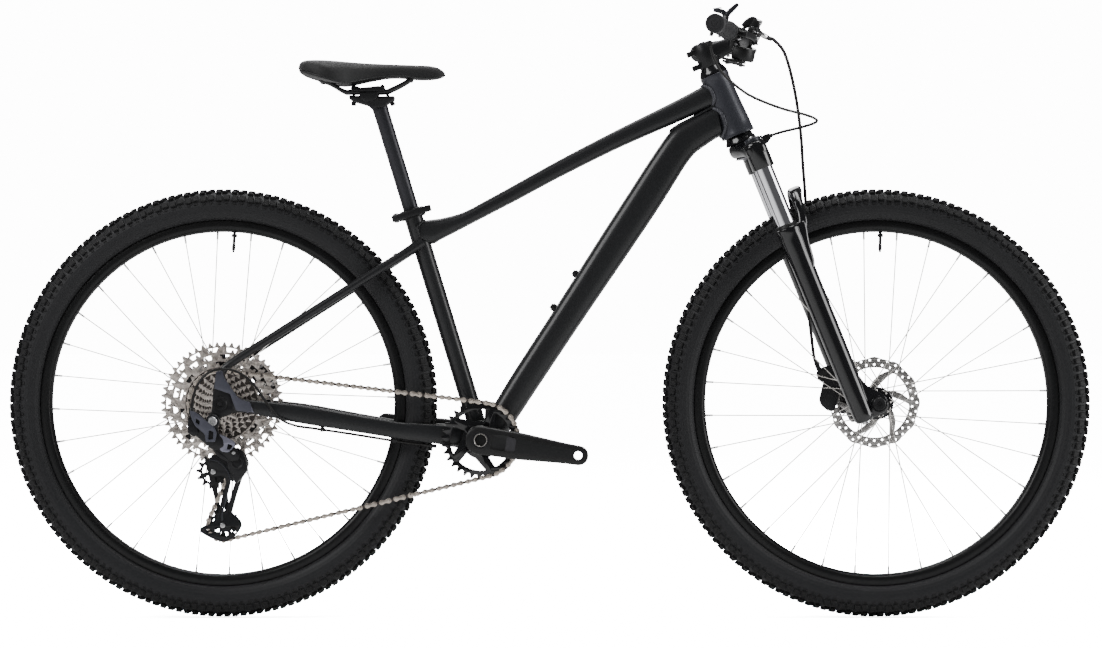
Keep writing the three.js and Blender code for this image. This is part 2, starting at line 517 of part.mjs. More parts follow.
const paddles = cut(
  plateY([[-16, 17.5], [-9, 17.5], [-7, 27], [6, 47], [2, 50], [-12, 34], [-24, 36], [-36, 31], [-35, 27],
    [-20, 27]], -18, -12),
  rod([-12, -30, 22], [-12, 0, 22], 2.7, 12),
);
put('lockout_lever', at(barPlace(-205, CONTROL_TILT), paddles), M.grey);

const shifter = cut(
  join(
    clampRing(-5, 5, 14.5),
    box(-6, 12, -5, 5, -26, -11),
    plateZ([[2, -20], [30, -24], [40, -12], [40, 14], [30, 24], [2, 20]], -42, -20),
    rod([20, 0, -53], [20, 0, -41], 3, 12),
  ),
  barHole,
);
const SHIFT_PLACE = barPlace(-165, CONTROL_TILT);
put('shifter_body', at(SHIFT_PLACE, shifter), M.plastic);
const thumb = (tip, z0, z1) => cut(
  plateZ([[14, -5], [14, 6], [27, 7], [28, -6], [tip[0] + 7, tip[1] - 3], [tip[0] - 6, tip[1] - 8],
    [tip[0] - 9, tip[1] + 8]], z0, z1),
  rod([20, 0, -60], [20, 0, -30], 3.2, 12),
);
put('shift_lever_main', at(SHIFT_PLACE, thumb([-14, -30], -46.5, -42.4)), M.plastic);
put('shift_lever_release', at(SHIFT_PLACE, thumb([2, -36], -51.5, -47.2)), M.plastic);

// ---------------------------------------------------------------- wheels
const tyreHalf = [[TYRE_R, 8], [359, 26.5], [342.6, TYRE_HALF], [329, 26], [318, 13], [311, 13], [311, 9.5],
  [319, 10], [343, 26.4], [366, 8]];
const rimHalf = [[RIM_IN, 9], [303, 15], [RIM_OUT, 15], [RIM_OUT, 13.3], [304.5, 13.3]];
// A half profile, from its outermost point round to its innermost, closed with its mirror image.
const closed = (half) => [...half, ...half.map(([r, y]) => [r, -y]).reverse(), half[0]];

function spokeNet(x, flanges, barrelR, phase) {
  const flangeDisc = ([y, r]) => rod([x, y - 1.5, TYRE_R], [x, y + 1.5, TYRE_R], r, 12);
  const barrel = rod([x, flanges[0][0], TYRE_R], [x, flanges[1][0], TYRE_R], barrelR + 1.8, 12);
  const list = [flangeDisc(flanges[0]), flangeDisc(flanges[1]), barrel];
  const swing = Math.acos(0.4);
  const end = RIM_IN - 2.2;
  for (let i = 0; i < SPOKES; i++) {
    const rimAngle = phase + (2 * Math.PI * i) / SPOKES;
    const side = i % 2;
    const lean = i % 4 < 2 ? 1 : -1;
    const hubAngle = rimAngle + lean * swing;
    const [fy] = flanges[side];
    const outward = (i % 4 === 0 || i % 4 === 3 ? 1.7 : -1.7) * Math.sign(fy);
    const a = [x + SPOKE_PCR * Math.cos(hubAngle), fy + outward, TYRE_R + SPOKE_PCR * Math.sin(hubAngle)];
    const b = [x + end * Math.cos(rimAngle), Math.sign(fy) * 2.5, TYRE_R + end * Math.sin(rimAngle)];
    list.push(rod(a, b, 1, 3));
  }
  const hole = rod([x, -60, TYRE_R], [x, 60, TYRE_R], barrelR + 0.6, 12);
  return cut(join(...list), hole);
}
function wheel(tag, x, phase) {
  put(`tyre_${tag}`, turnY(closed(tyreHalf), x, TYRE_R, 28), M.tyre);
  // The valve stands midway between the two spokes nearest the top.
  const valveAngle = phase + (2 * Math.PI * 7.5) / SPOKES;
  const along = (r) => [x + r * Math.cos(valveAngle), 0, TYRE_R + r * Math.sin(valveAngle)];
  const valve = rod(along(262), along(RIM_IN + 3), 3, 6);
  put(`rim_${tag}`, turnY(closed(rimHalf), x, TYRE_R, 28).add(valve), M.rim);
  const front = tag === 'front';
  const flanges = front ? [[-33, 28], [25, 28]] : [[-23, 28], [36, 28]];
  put(`spokes_${tag}`, spokeNet(x, flanges, front ? 13 : 15, phase), M.steel);
}
wheel('front', AXLE_X, rad(4.15));
wheel('rear', -AXLE_X, rad(1.95));

put('hub_front', turnY([[7.75, -54.7], [10, -54.7], [13, -44], [13, 29], [21, 29], [21, 36.8], [12.8, 36.8],
  [10, 48], [10, 54.7], [7.75, 54.7], [7.75, -54.7]], AXLE_X, TYRE_R, 20), M.gloss);
put('hub_rear', turnY([[6.25, -28.5], [15, -28.5], [15, 48], [21, 48], [21, 55.8], [12.8, 55.8], [9.5, 66],
  [9.5, 73.7], [6.25, 73.7], [6.25, -28.5]], -AXLE_X, TYRE_R, 20), M.gloss);

function rotor(x, y) {
  const outline = [];
  for (let i = 0; i < 24; i++) {
    const t = (2 * Math.PI * i) / 24;
    const r = ROTOR_R - (i % 2) * 2.5;
    outline.push([x + r * Math.cos(t), TYRE_R + r * Math.sin(t)]);
  }
  const windows = [];
  for (let i = 0; i < 6; i++) {
    const t = (2 * Math.PI * i) / 6;
    windows.push([...arc(x, TYRE_R, 65, t + 0.1, t + 0.95, 2), ...arc(x, TYRE_R, 28, t + 1.35, t + 0.75, 2)]);
  }
  windows.push(circleOf(x, TYRE_R, 13.4, 12));
  return plateY(outline, y - 0.9, y + 0.9, windows);
}
put('rotor_front', rotor(AXLE_X, FRONT_ROTOR_Y), M.steel);
put('rotor_rear', rotor(-AXLE_X, REAR_ROTOR_Y), M.steel);

// ---------------------------------------------------------------- gears and chain
const pitchR = (teeth) => PITCH / (2 * Math.sin(Math.PI / teeth));
function toothed(cx, cz, teeth, y0, y1, windows = [], twist = 0) {
  const r = pitchR(teeth);
  const outline = [];
  for (let i = 0; i < teeth; i++) {
    const t = twist + (2 * Math.PI * i) / teeth;
    const half = Math.PI / teeth;
    outline.push([cx + (r - 3.4) * Math.cos(t), cz + (r - 3.4) * Math.sin(t)]);
    outline.push([cx + (r + 3.6) * Math.cos(t + half), cz + (r + 3.6) * Math.sin(t + half)]);
  }
  return plateY(outline, y0, y1, windows);
}
const cogDiscs = COGS.map((teeth, i) => {
  const y = COG_FIRST_Y - COG_STEP * i;
  if (teeth === COG_IN_USE) return toothed(-AXLE_X, TYRE_R, teeth, y - 0.8, y + 0.8);
  return plateY(circleOf(-AXLE_X, TYRE_R, pitchR(teeth) + 3, teeth > 25 ? 22 : 14), y - 0.8, y + 0.8);
});
const cogCore = COGS.slice(1).map((teeth, i) => {
  const y = COG_FIRST_Y - COG_STEP * i;
  return rod([-AXLE_X, y - COG_STEP, TYRE_R], [-AXLE_X, y, TYRE_R], pitchR(teeth) - 7, 8);
});
put('cassette', cut(
  join(...cogDiscs, ...cogCore, rod([-AXLE_X, -73.6, TYRE_R], [-AXLE_X, -29, TYRE_R], 9.5, 16)),
  rod([-AXLE_X, -80, TYRE_R], [-AXLE_X, -20, TYRE_R], 6.25, 20),
), M.nickel);

const ringWindows = [];
for (let i = 0; i < 5; i++) {
  const t = rad(72 * i - 70);
  const outside = arc(BB[0], BB[1], 53, t - rad(64), t - rad(11), 4);
  const inside = arc(BB[0], BB[1], 33, t - rad(37), t - rad(67), 2);
  ringWindows.push([...outside, ...inside]);
}
ringWindows.push(circleOf(BB[0], BB[1], 12.6, 20));
put('chainring', join(
  toothed(BB[0], BB[1], RING_TEETH, RING_Y - 0.9, RING_Y + 0.9, ringWindows),
  turnY(ring(23, 12.6, -61.6, RING_Y), BB[0], BB[1], 20),
), M.gloss);

function pulley(centre, name) {
  put(name, cut(
    join(
      toothed(...centre, PULLEY_TEETH, CHAIN_Y - 1, CHAIN_Y + 1),
      rod([centre[0], CHAIN_Y - 3.3, centre[1]], [centre[0], CHAIN_Y + 3.3, centre[1]], 6, 16),
    ),
    rod([centre[0], -60, centre[1]], [centre[0], -30, centre[1]], 3.2, 12),
  ), M.plastic);
}
pulley(GUIDE, 'guide_pulley');
pulley(TENSION, 'tension_pulley');

// The chain's centre line runs round four toothed wheels; spin is +1 where it bends like the loop itself.
const CHAIN_STOPS = [
  { c: BB, r: pitchR(RING_TEETH), spin: 1, y: RING_Y, n: 10 },
  { c: [-AXLE_X, TYRE_R], r: pitchR(COG_IN_USE), spin: 1, y: CHAIN_Y, n: 9 },
  { c: GUIDE, r: pitchR(PULLEY_TEETH), spin: -1, y: CHAIN_Y, n: 5 },
  { c: TENSION, r: pitchR(PULLEY_TEETH), spin: 1, y: CHAIN_Y, n: 6 },
];
function chainLoop(offset) {
  const n = CHAIN_STOPS.length;
  const ends = CHAIN_STOPS.map(() => ({}));
  for (let i = 0; i < n; i++) {
    const A = CHAIN_STOPS[i];
    const B = CHAIN_STOPS[(i + 1) % n];
    const ra = A.spin * (A.r + A.spin * offset);
    const rb = B.spin * (B.r + B.spin * offset);
    const dx = B.c[0] - A.c[0];
    const dz = B.c[1] - A.c[1];
    const d = Math.hypot(dx, dz);
    const base = Math.atan2(dz, dx);
    const beta = Math.acos((ra - rb) / d);
    const normal = base - beta;
    ends[i].leave = A.spin > 0 ? normal : normal + Math.PI;
    ends[(i + 1) % n].arrive = B.spin > 0 ? normal : normal + Math.PI;
  }
  const out = [];
  CHAIN_STOPS.forEach((S, i) => {
    let a0 = ends[i].arrive;
    let a1 = ends[i].leave;
    if (S.spin > 0) while (a1 < a0) a1 += 2 * Math.PI;
    else while (a1 > a0) a1 -= 2 * Math.PI;
    out.push(...arc(S.c[0], S.c[1], S.r + S.spin * offset, a0, a1, S.n));
  });
  return out;
}
// Sideways shift between the plane of the ring and the plane of the sprocket in use.
function chainBand(offset, y0, y1) {
  const shape = shapeOf(chainLoop(offset));
  const g = new THREE.ExtrudeGeometry(shape, { depth: y1 - y0, bevelEnabled: false });
  g.rotateX(Math.PI / 2);
  g.translate(0, y1, 0);
  return g;
}
function slant(g) {
  const p = g.attributes.position;
  for (let i = 0; i < p.count; i++) {
    const t = THREE.MathUtils.clamp((p.getX(i) + 510) / (510 - 185), 0, 1);
    p.setY(i, p.getY(i) + t * (RING_Y - CHAIN_Y));
  }
  return g;
}
const chainOuter = solid(slant(chainBand(4.3, CHAIN_Y - 2.3, CHAIN_Y + 2.3)));
const chainInner = solid(slant(chainBand(-4.3, CHAIN_Y - 6, CHAIN_Y + 6)));
const toothRoom = CHAIN_STOPS.map((S) =>
  rod([S.c[0], S.y - 1.25, S.c[1]], [S.c[0], S.y + 1.25, S.c[1]], S.r + 4.3 + 1.2, 16));
put('chain', cut(chainOuter, chainInner, ...toothRoom), M.chain);

// ---------------------------------------------------------------- rear derailleur
const OUTER = [-51.9, -50];
const INNER = [-42.2, -40.4];
const cageOuter = cut(
  plateY([[-594, 262], [-588, 268], [-570, 276], [-540, 290], [-524, 283], [-520, 268], [-531, 244],
    [-550, 182], [-534, 171], [-534, 160], [-546, 140], [-562, 133], [-604, 150], [-604, 158], [-580, 170],
    [-577, 182], [-561, 236], [-578, 241], [-590, 248]], ...OUTER),
  plateY([[-553, 239], [-543.5, 238], [-559.5, 187], [-567, 188]], -60, -48),
  rod([CAGE_PIVOT[0], -60, CAGE_PIVOT[1]], [CAGE_PIVOT[0], -48, CAGE_PIVOT[1]], 6.45, 16),
);
const cageInner = cut(
  plateY([[-594, 262], [-588, 268], [-572, 268], [-562, 250], [-554, 182], [-534, 171], [-534, 160],
    [-546, 140], [-562, 133], [-604, 150], [-604, 158], [-580, 170], [-578, 182], [-590, 244]], ...INNER),
  plateY([[-577, 236], [-570, 236], [-562, 186], [-569, 186]], -44, -38),
);
const cagePin = (c) => rod([c[0], OUTER[0] - 1, c[1]], [c[0], INNER[1] + 1, c[1]], 3, 12);
const cagePins = [GUIDE, TENSION].map(cagePin);
put('derailleur_cage', join(cageOuter, cageInner, ...cagePins), M.plastic);

const knuckle = plateY([[-619, 360], [-600, 353], [-578, 353], [-568, 345], [-568, 334], [-575, 324],
  [-566, 308], [-584, 298], [-604, 318], [-618, 328]], -101, -86.5);
const linkPlate = plateY([[-580, 320], [-566, 314], [-541, 306], [-531, 292], [-528, 276], [-546, 268],
  [-560, 284], [-582, 297]], -93, -74);
const hangerBolt = join(
  rod([HANGER[0], -103.5, HANGER[1]], [HANGER[0], -84.3, HANGER[1]], 8, 12),
  rod([HANGER[0], -85, HANGER[1]], [HANGER[0], -76, HANGER[1]], 4, 12),
);
const cageHousing = join(
  rod([CAGE_PIVOT[0], -84, CAGE_PIVOT[1]], [CAGE_PIVOT[0], -52.4, CAGE_PIVOT[1]], 17, 16),
  rod([CAGE_PIVOT[0], -55, CAGE_PIVOT[1]], [CAGE_PIVOT[0], -49.6, CAGE_PIVOT[1]], 6.2, 16),
);
put('derailleur_body', join(knuckle, linkPlate, hangerBolt, cageHousing), M.gloss);

put('shift_cable', sweep([[-206, -41.5, 299.6], [-259, -45, 306.4], [-345, -54, 320.4], [-405, -61, 329.5],
  [-440, -72, 335.5], [-466, -84, 349], [-491, -90, 381], [-511, -92, 409], [-536, -92.5, 427.5],
  [-561, -93, 432.6], [-586, -94, 426.5], [-604, -94.5, 407], [-611.5, -94.5, 386], [-615, -94.5, 362.5]],
2.1, 8, 26), M.rubber);

// ---------------------------------------------------------------- cranks
// The right arm lies along its own u axis, u = 0 at the crank axle.
const armSide = [...arc(0, 0, 25, rad(75), rad(285), 10), [60, -23.6], [100, -21.2], [150, -18],
  ...arc(CRANK, 0, 17.5, rad(-75), rad(75), 6), [100, 21.2], [60, 23.6]];
const armPlan = [[-26, -61.9], [-26, -84], [30, -85], [130, -90], [189, -90], [189, -76], [120, -72],
  [60, -64], [30, -61.9]];
const arm = plateY(armSide, -95, -60).intersect(plateZ(armPlan, -40, 40));
const pedalHole = rod([CRANK, -99, 0], [CRANK, -60, 0], 7.15, 20);
const armPlace = (turn) => new THREE.Matrix4().makeRotationY(rad(turn))
  .premultiply(new THREE.Matrix4().makeTranslation(BB[0], 0, BB[1]));
const spindleHole = rod([0, -99, 0], [0, -55, 0], 12.4, 20);
put('crank_right', at(armPlace(CRANK_DROP), cut(arm, pedalHole, spindleHole)), M.crank);
const leftArm = mirror(cut(arm, pedalHole, rod([0, -99, 0], [0, -80, 0], 11, 20)));
// The spindle belongs to the left arm; its right end is dished.
const spindle = turnY([[0, -79], [10, -79], [10, -85], [12, -85], [12, 66], [0, 66]], BB[0], BB[1], 20);
put('crank_left', at(armPlace(CRANK_DROP + 180), leftArm).add(spindle), M.crank);

// ---------------------------------------------------------------- hoses
put('front_brake_hose', sweep([[367.5, -178, 996.5], [380, -172, 990.5], [397, -152, 968], [417, -95, 911],
  [433, -30, 846], [445, 20, 752], [448.5, 38, 715], [450, 40, 683], [451, 40, 600], [453.5, 40, 531],
  [457.5, 40, 492], [462.5, 38, 452], [469, 37, 436]], 2.5, 8, 28), M.rubber);
put('lockout_cable', sweep([[272, -219, 986], [272.5, -213, 972.5], [283, -198, 948], [301, -180, 927],
  [339, -152, 900], [393, -118, 880], [436, -92, 870.2], [456, -80, 863.5], [458, -75, 857.5],
  [437, -70, 850], [401, -60, 841.5], [378, -51.5, 834.5]], 2, 8, 25), M.rubber);

export default group;
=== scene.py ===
"""Hardtail mountain bike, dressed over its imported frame.

Shapes are drawn in millimetres and turned into metres when a piece is made.
+X forward, +Y rider's left, +Z up.
"""
from math import acos, atan2, copysign, cos, degrees, dist, exp, hypot, pi, radians, sin, sqrt

import bmesh
import bpy
from mathutils import Matrix, Vector


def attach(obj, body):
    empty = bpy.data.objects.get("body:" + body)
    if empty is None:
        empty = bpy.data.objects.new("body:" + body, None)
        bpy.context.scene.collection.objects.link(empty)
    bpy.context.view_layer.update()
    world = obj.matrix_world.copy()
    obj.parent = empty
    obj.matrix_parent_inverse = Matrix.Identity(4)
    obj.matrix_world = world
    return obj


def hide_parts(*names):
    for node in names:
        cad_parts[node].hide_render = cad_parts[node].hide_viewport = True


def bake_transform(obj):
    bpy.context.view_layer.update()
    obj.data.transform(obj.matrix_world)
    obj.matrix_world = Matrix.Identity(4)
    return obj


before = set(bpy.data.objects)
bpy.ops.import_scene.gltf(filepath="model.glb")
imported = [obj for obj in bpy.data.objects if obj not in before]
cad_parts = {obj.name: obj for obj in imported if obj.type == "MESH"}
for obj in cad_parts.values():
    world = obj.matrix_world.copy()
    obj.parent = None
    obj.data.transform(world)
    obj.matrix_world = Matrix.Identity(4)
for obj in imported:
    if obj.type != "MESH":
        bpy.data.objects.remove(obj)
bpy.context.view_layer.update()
MM = 0.001
TAU = 2 * pi

# ------------------------------------------------------------------ driving dimensions, millimetres
AXLE_X, TYRE_R = 567.7, 372.6
SPOKES, SPOKE_PCR = 32, 22.5
BB_X, BB_Z = -119.3, 310.0
HEAD_X, HEAD_Z, HEAD_LEAN, HEAD_HALF = 306.8, 891.4, 22.0, 56.7
SEAT_LEAN, POST_UP = 17.0, 612
LEG_OFF, LEG_Y = 14.7, 66.0
AXLE_OFF, AXLE_DROP = 47.6, 578.7
BAR_AHEAD, BAR_UP, BAR_HALF, BAR_BEND = 62.9, 92.8, 360.0, 95.0
BAR_MID, BAR_END = (330.4, 1001.0), (272.9, 1006.0)
CRANK, CRANK_DROP = 170.0, 8.8
PITCH = 12.7
COGS = (51, 45, 39, 33, 28, 24, 21, 18, 16, 14, 12, 10)
COG_STEP, COG_FIRST_Y, COG_IN_USE = 3.5, -32.0, 28
RING_TEETH, RING_Y, PULLEY_TEETH = 32, -52.0, 13
CHAIN_Y = COG_FIRST_Y - COG_STEP * COGS.index(COG_IN_USE)
GUIDE, TENSION = (-581.6, 254.6), (-565.1, 162.1)
CAGE_PIVOT, HANGER = (-537.4, 272.0), (-578.6, 342.8)
ROTOR_R, FRONT_ROTOR_Y, REAR_ROTOR_Y = 80.0, 38.0, 57.0
CONTROL_TILT = 12.0
COLUMN = "steering_column"


# ------------------------------------------------------------------ places
def turned(axis, angle):
    return Matrix.Rotation(radians(angle), 4, axis)


def shift(x, y, z):
    return Matrix.Translation((x, y, z))


STEER = shift(HEAD_X, 0, HEAD_Z) @ turned("Y", -HEAD_LEAN)
SEAT = shift(BB_X, 0, BB_Z) @ turned("Y", -SEAT_LEAN)
BAR_SWEEP = degrees(atan2(BAR_MID[0] - BAR_END[0], BAR_HALF - BAR_BEND))


def bar_point(y):
    t = max(0.0, (abs(y) - BAR_BEND) / (BAR_HALF - BAR_BEND))
    return Vector((BAR_MID[0] + (BAR_END[0] - BAR_MID[0]) * t, y, BAR_MID[1] + (BAR_END[1] - BAR_MID[1]) * t))


def bar_place(y, tilt=CONTROL_TILT):
    return Matrix.Translation(bar_point(y)) @ turned("Z", copysign(BAR_SWEEP, y)) @ turned("Y", tilt)


def along_y(x, z, turn=0.0):
    """Local z runs along +Y, local x and y lie in the side view."""
    flat = Matrix(((1, 0, 0, 0), (0, 0, 1, 0), (0, 1, 0, 0), (0, 0, 0, 1)))
    return shift(x, 0, z) @ turned("Y", turn) @ flat


FLIP = Matrix.Scale(-1, 4, (0, 1, 0))
SIDE_PLANE = along_y(0, 0)
FRONT_AXLE = along_y(AXLE_X, TYRE_R)
REAR_AXLE = along_y(-AXLE_X, TYRE_R)
STEER_PLANE = STEER @ along_y(0, 0)
STEER_TURN = STEER.to_3x3()
HERE = Matrix.Identity(4)


# ------------------------------------------------------------------ shapes: (vertices, faces)
def placed(shape, matrix):
    return [matrix @ Vector(v) for v in shape[0]], shape[1]


def joined(*shapes):
    verts, faces = [], []
    for v, f in shapes:
        start = len(verts)
        verts += v
        faces += [tuple(start + i for i in face) for face in f]
    return verts, faces


def loft(rings, caps=True, loop=False, wrap=True):
    n, count = len(rings[0]), len(rings)
    faces = []
    for i in range(count if loop else count - 1):
        j = (i + 1) % count
        for k in range(n if wrap else n - 1):
            m = (k + 1) % n
            faces.append((i * n + k, i * n + m, j * n + m, j * n + k))
    if caps and not loop:
        faces += [tuple(range(n - 1, -1, -1)), tuple((count - 1) * n + k for k in range(n))]
    return [Vector(p) for ring in rings for p in ring], faces


def lathe(profile, place, sides=48):
    """A profile of (radius, height) turned about the place's z axis, closed unless it starts on the axis."""
    rings = []
    for i in range(sides):
        c, s = cos(TAU * i / sides), sin(TAU * i / sides)
        rings.append([place @ Vector((r * c, r * s, h)) for r, h in profile])
    return loft(rings, caps=False, loop=True, wrap=profile[0][0] > 0)


def sleeve(r0, r1, low, high, place, sides=48):
    """A plain ring of square section."""
    return lathe([(r0, low), (r1, low), (r1, high), (r0, high)], place, sides)


def spline(points, steps=8, closed=False):
    pts = [Vector(p) for p in points]
    n = len(pts)
    out = []
    for i in range(n if closed else n - 1):
        if closed:
            p0, p1, p2, p3 = (pts[(i + k) % n] for k in (-1, 0, 1, 2))
        else:
            p1, p2 = pts[i], pts[i + 1]
            p0 = pts[i - 1] if i else p1 * 2 - p2
            p3 = pts[i + 2] if i + 2 < n else p2 * 2 - p1
        for s in range(steps):
            t = s / steps
            out.append(0.5 * (2 * p1 + (p2 - p0) * t + (2 * p0 - 5 * p1 + 4 * p2 - p3) * t * t
                              + (3 * p1 - p0 - 3 * p2 + p3) * t ** 3))
    if not closed:
        out.append(pts[-1])
    return out


def tube(points, radius, sides=12, closed=False):
    """A round tube along points; radius is a number or one value for each point."""
    pts = [Vector(p) for p in points]
    n = len(pts)
    radii = radius if isinstance(radius, (list, tuple)) else [radius] * n
    tangents = []
    for i in range(n):
        a = pts[(i - 1) % n] if closed or i else pts[0]
        b = pts[(i + 1) % n] if closed or i < n - 1 else pts[-1]
        tangents.append((b - a).normalized())
    normal = tangents[0].orthogonal().normalized()
    rings = []
    for p, t, r in zip(pts, tangents, radii):
        normal = (normal - t * normal.dot(t)).normalized()
        other = t.cross(normal)
        rings.append([p + (normal * cos(TAU * k / sides) + other * sin(TAU * k / sides)) * r
                      for k in range(sides)])
    return loft(rings, caps=not closed, loop=closed)


def rod(a, b, r, sides=24, chamfer=0.0):
    a, b = Vector(a), Vector(b)
    d = (b - a).normalized()
    if not chamfer:
        return tube([a, b], r, sides)
    pts = [a, a + d * chamfer, b - d * chamfer, b]
    return tube(pts, [r - chamfer, r, r, r - chamfer], sides)


def rods_round(count, radius, x, z, y0, y1, r):
    """Small rods from y0 to y1, on a circle in the side view."""
    feet = [polar(radius, t, x, z) for t in around(count)]
    return [rod((u, y0, v), (u, y1, v), r, 8) for u, v in feet]


def block(x0, x1, y0, y1, z0, z1):
    v = [Vector((x, y, z)) for x in (x0, x1) for y in (y0, y1) for z in (z0, z1)]
    return v, [(0, 1, 3, 2), (4, 6, 7, 5), (0, 4, 5, 1), (2, 3, 7, 6), (0, 2, 6, 4), (1, 5, 7, 3)]


def around(count):
    return [TAU * k / count for k in range(count)]


def polar(r, t, cx=0, cy=0):
    return cx + r * cos(t), cy + r * sin(t)


def arc(cx, cy, r, a0, a1, n):
    return [polar(r, radians(a0 + (a1 - a0) * i / n), cx, cy) for i in range(n + 1)]


def hole(cx, cy, r, n=16):
    return arc(cx, cy, r, 0, 360 * (1 - 1 / n), n - 1)


def rounded(points, radius, n=4):
    """An outline with its corners rounded off."""
    out = []
    count = len(points)
    for i in range(count):
        p = Vector(points[i])
        a, b = Vector(points[i - 1]) - p, Vector(points[(i + 1) % count]) - p
        cut = min(radius, a.length * 0.45, b.length * 0.45)
        start, end = p + a.normalized() * cut, p + b.normalized() * cut
        for k in range(n + 1):
            t = k / n
            out.append(tuple(start * (1 - t) ** 2 + p * 2 * t * (1 - t) + end * t * t))
    return out


def plate(outline, low, high, place, holes=(), bevel=0.0):
    """A flat outline with holes, from height low to high along the place's z axis, with rounded edges."""
    curve = bpy.data.curves.new("plate", "CURVE")
    curve.dimensions = "2D"
    curve.fill_mode = "BOTH"
    curve.extrude = (high - low) / 2 - bevel
    curve.bevel_depth = bevel
    curve.bevel_resolution = 1
    curve.offset = -bevel
    for loop in (outline, *holes):
        line = curve.splines.new("POLY")
        line.points.add(len(loop) - 1)
        for point, (u, v) in zip(line.points, loop):
            point.co = (u, v, 0, 1)
        line.use_cyclic_u = True
    holder = bpy.data.objects.new("plate", curve)
    mesh = bpy.data.meshes.new_from_object(holder)
    middle = shift(0, 0, (low + high) / 2)
    verts = [place @ (middle @ v.co) for v in mesh.vertices]
    faces = [tuple(p.vertices) for p in mesh.polygons]
    bpy.data.objects.remove(holder)
    bpy.data.curves.remove(curve)
    bpy.data.meshes.remove(mesh)
    return verts, faces


def side_plate(points, corner, y0, y1, bevel=0.0, holes=()):
    """A plate that lies in the side view, with round corners, from y0 to y1."""
    return plate(rounded(points, corner), y0, y1, SIDE_PLANE, holes, bevel)


def oval(centre, up, side, power=2.0, n=36):
    """A ring between an ellipse (power 2) and a box with round corners (higher power)."""
    out = []
    for k in range(n):
        c, s = cos(TAU * k / n), sin(TAU * k / n)
        e = 2 / power
        out.append(centre + side * copysign(abs(c) ** e, c) + up * copysign(abs(s) ** e, s))
    return out


def slab(stations, power=2.8, steps=5, n=36):
    """A tube through stations: (upper x, z, lower x, z, middle y, half width)."""
    smooth = zip(spline([s[0:2] + (0,) for s in stations], steps),
                 spline([s[2:4] + (0,) for s in stations], steps),
                 spline([s[4:6] + (0,) for s in stations], steps))
    rings = []
    for u, l, w in smooth:
        upper, lower = Vector((u.x, w.x, u.y)), Vector((l.x, w.x, l.y))
        rings.append(oval((upper + lower) / 2, (upper - lower) / 2, Vector((0, w.y, 0)), power, n))
    return loft(rings)


def surface(name, colour, rough, metal=0.0, grain=600.0, bump=0.1, vary=0.15, rough_vary=0.08,
            coat=0.0, stretch=(1, 1, 1), sheen=0.0, shine=0.3, spot=22.0):
    """Base colour and roughness broken up by noise, over a fine bump."""
    m = bpy.data.materials.new(name)
    m.use_nodes = True
    tree = m.node_tree
    shader = tree.nodes["Principled BSDF"]
    for socket, value in (("Metallic", metal), ("Specular IOR Level", shine), ("Coat Weight", coat),
                          ("Coat Roughness", 0.08), ("Sheen Weight", sheen)):
        shader.inputs[socket].default_value = value
    place = tree.nodes.new("ShaderNodeTexCoord")
    scale = tree.nodes.new("ShaderNodeMapping")
    scale.inputs["Scale"].default_value = stretch
    tree.links.new(place.outputs["Object"], scale.inputs["Vector"])

    def noise(size, detail):
        node = tree.nodes.new("ShaderNodeTexNoise")
        node.inputs["Scale"].default_value = size
        node.inputs["Detail"].default_value = detail
        tree.links.new(scale.outputs["Vector"], node.inputs["Vector"])
        return node.outputs["Fac"]

    broad, fine = noise(spot, 4.0), noise(grain, 3.0)
    tint = tree.nodes.new("ShaderNodeMix")
    tint.data_type = "RGBA"
    tint.inputs["A"].default_value = (*[c * (1 - vary) for c in colour], 1)
    tint.inputs["B"].default_value = (*[min(1, c * (1 + vary)) for c in colour], 1)
    tree.links.new(broad, tint.inputs["Factor"])
    tree.links.new(tint.outputs["Result"], shader.inputs["Base Color"])
    spread = tree.nodes.new("ShaderNodeMapRange")
    spread.inputs["From Min"].default_value = 0.3
    spread.inputs["From Max"].default_value = 0.7
    spread.inputs["To Min"].default_value = max(0.02, rough - rough_vary)
    spread.inputs["To Max"].default_value = rough + rough_vary
    tree.links.new(fine, spread.inputs["Value"])
    tree.links.new(spread.outputs["Result"], shader.inputs["Roughness"])
    relief = tree.nodes.new("ShaderNodeBump")
    relief.inputs["Strength"].default_value = bump
    relief.inputs["Distance"].default_value = 0.0004
    tree.links.new(fine, relief.inputs["Height"])
    tree.links.new(relief.outputs["Normal"], shader.inputs["Normal"])
    return m


PAINT = surface("satin_paint", (0.0125, 0.0128, 0.0140), 0.36, 0.0, 900, 0.06, 0.12, 0.05,
                coat=0.15)
HEAD = surface("head_paint", (0.040, 0.041, 0.050), 0.38, 0.3, 900, 0.06, 0.1, 0.05, coat=0.1)
BEAD = surface("weld_paint", (0.060, 0.061, 0.070), 0.34, 0.3, 260, 0.4, 0.2, 0.06)
GLOSS = surface("gloss_black", (0.006, 0.006, 0.007), 0.17, 0.0, 500, 0.03, 0.2, 0.03,
                coat=0.6)
# Silver-grey used only as painted reflection under the fork crown.
CROWN_REFLECTION = surface("crown_painted_reflection", (0.25, 0.25, 0.27), 0.32, 0.7, 400, 0.08, 0.2, 0.06)
SATIN = surface("satin_anodised", (0.0105, 0.0105, 0.0115), 0.38, 0.1, 800, 0.08, 0.15, 0.06)
POST = surface("post_anodised", (0.030, 0.030, 0.035), 0.36, 0.4, 500, 0.08, 0.12, 0.06,
               stretch=(1, 1, 0.1))
STEEL = surface("spoke_steel", (0.62, 0.60, 0.57), 0.28, 1.0, 500, 0.05, 0.1, 0.08)
BOLT = surface("bolt_steel", (0.55, 0.55, 0.56), 0.30, 1.0, 500, 0.08, 0.15, 0.1)
SILVER = surface("polished_alloy", (0.72, 0.72, 0.72), 0.22, 1.0, 300, 0.05, 0.1, 0.07)
CHROME = surface("stanchion_chrome", (0.80, 0.80, 0.83), 0.07, 1.0, 900, 0.02, 0.05, 0.02)
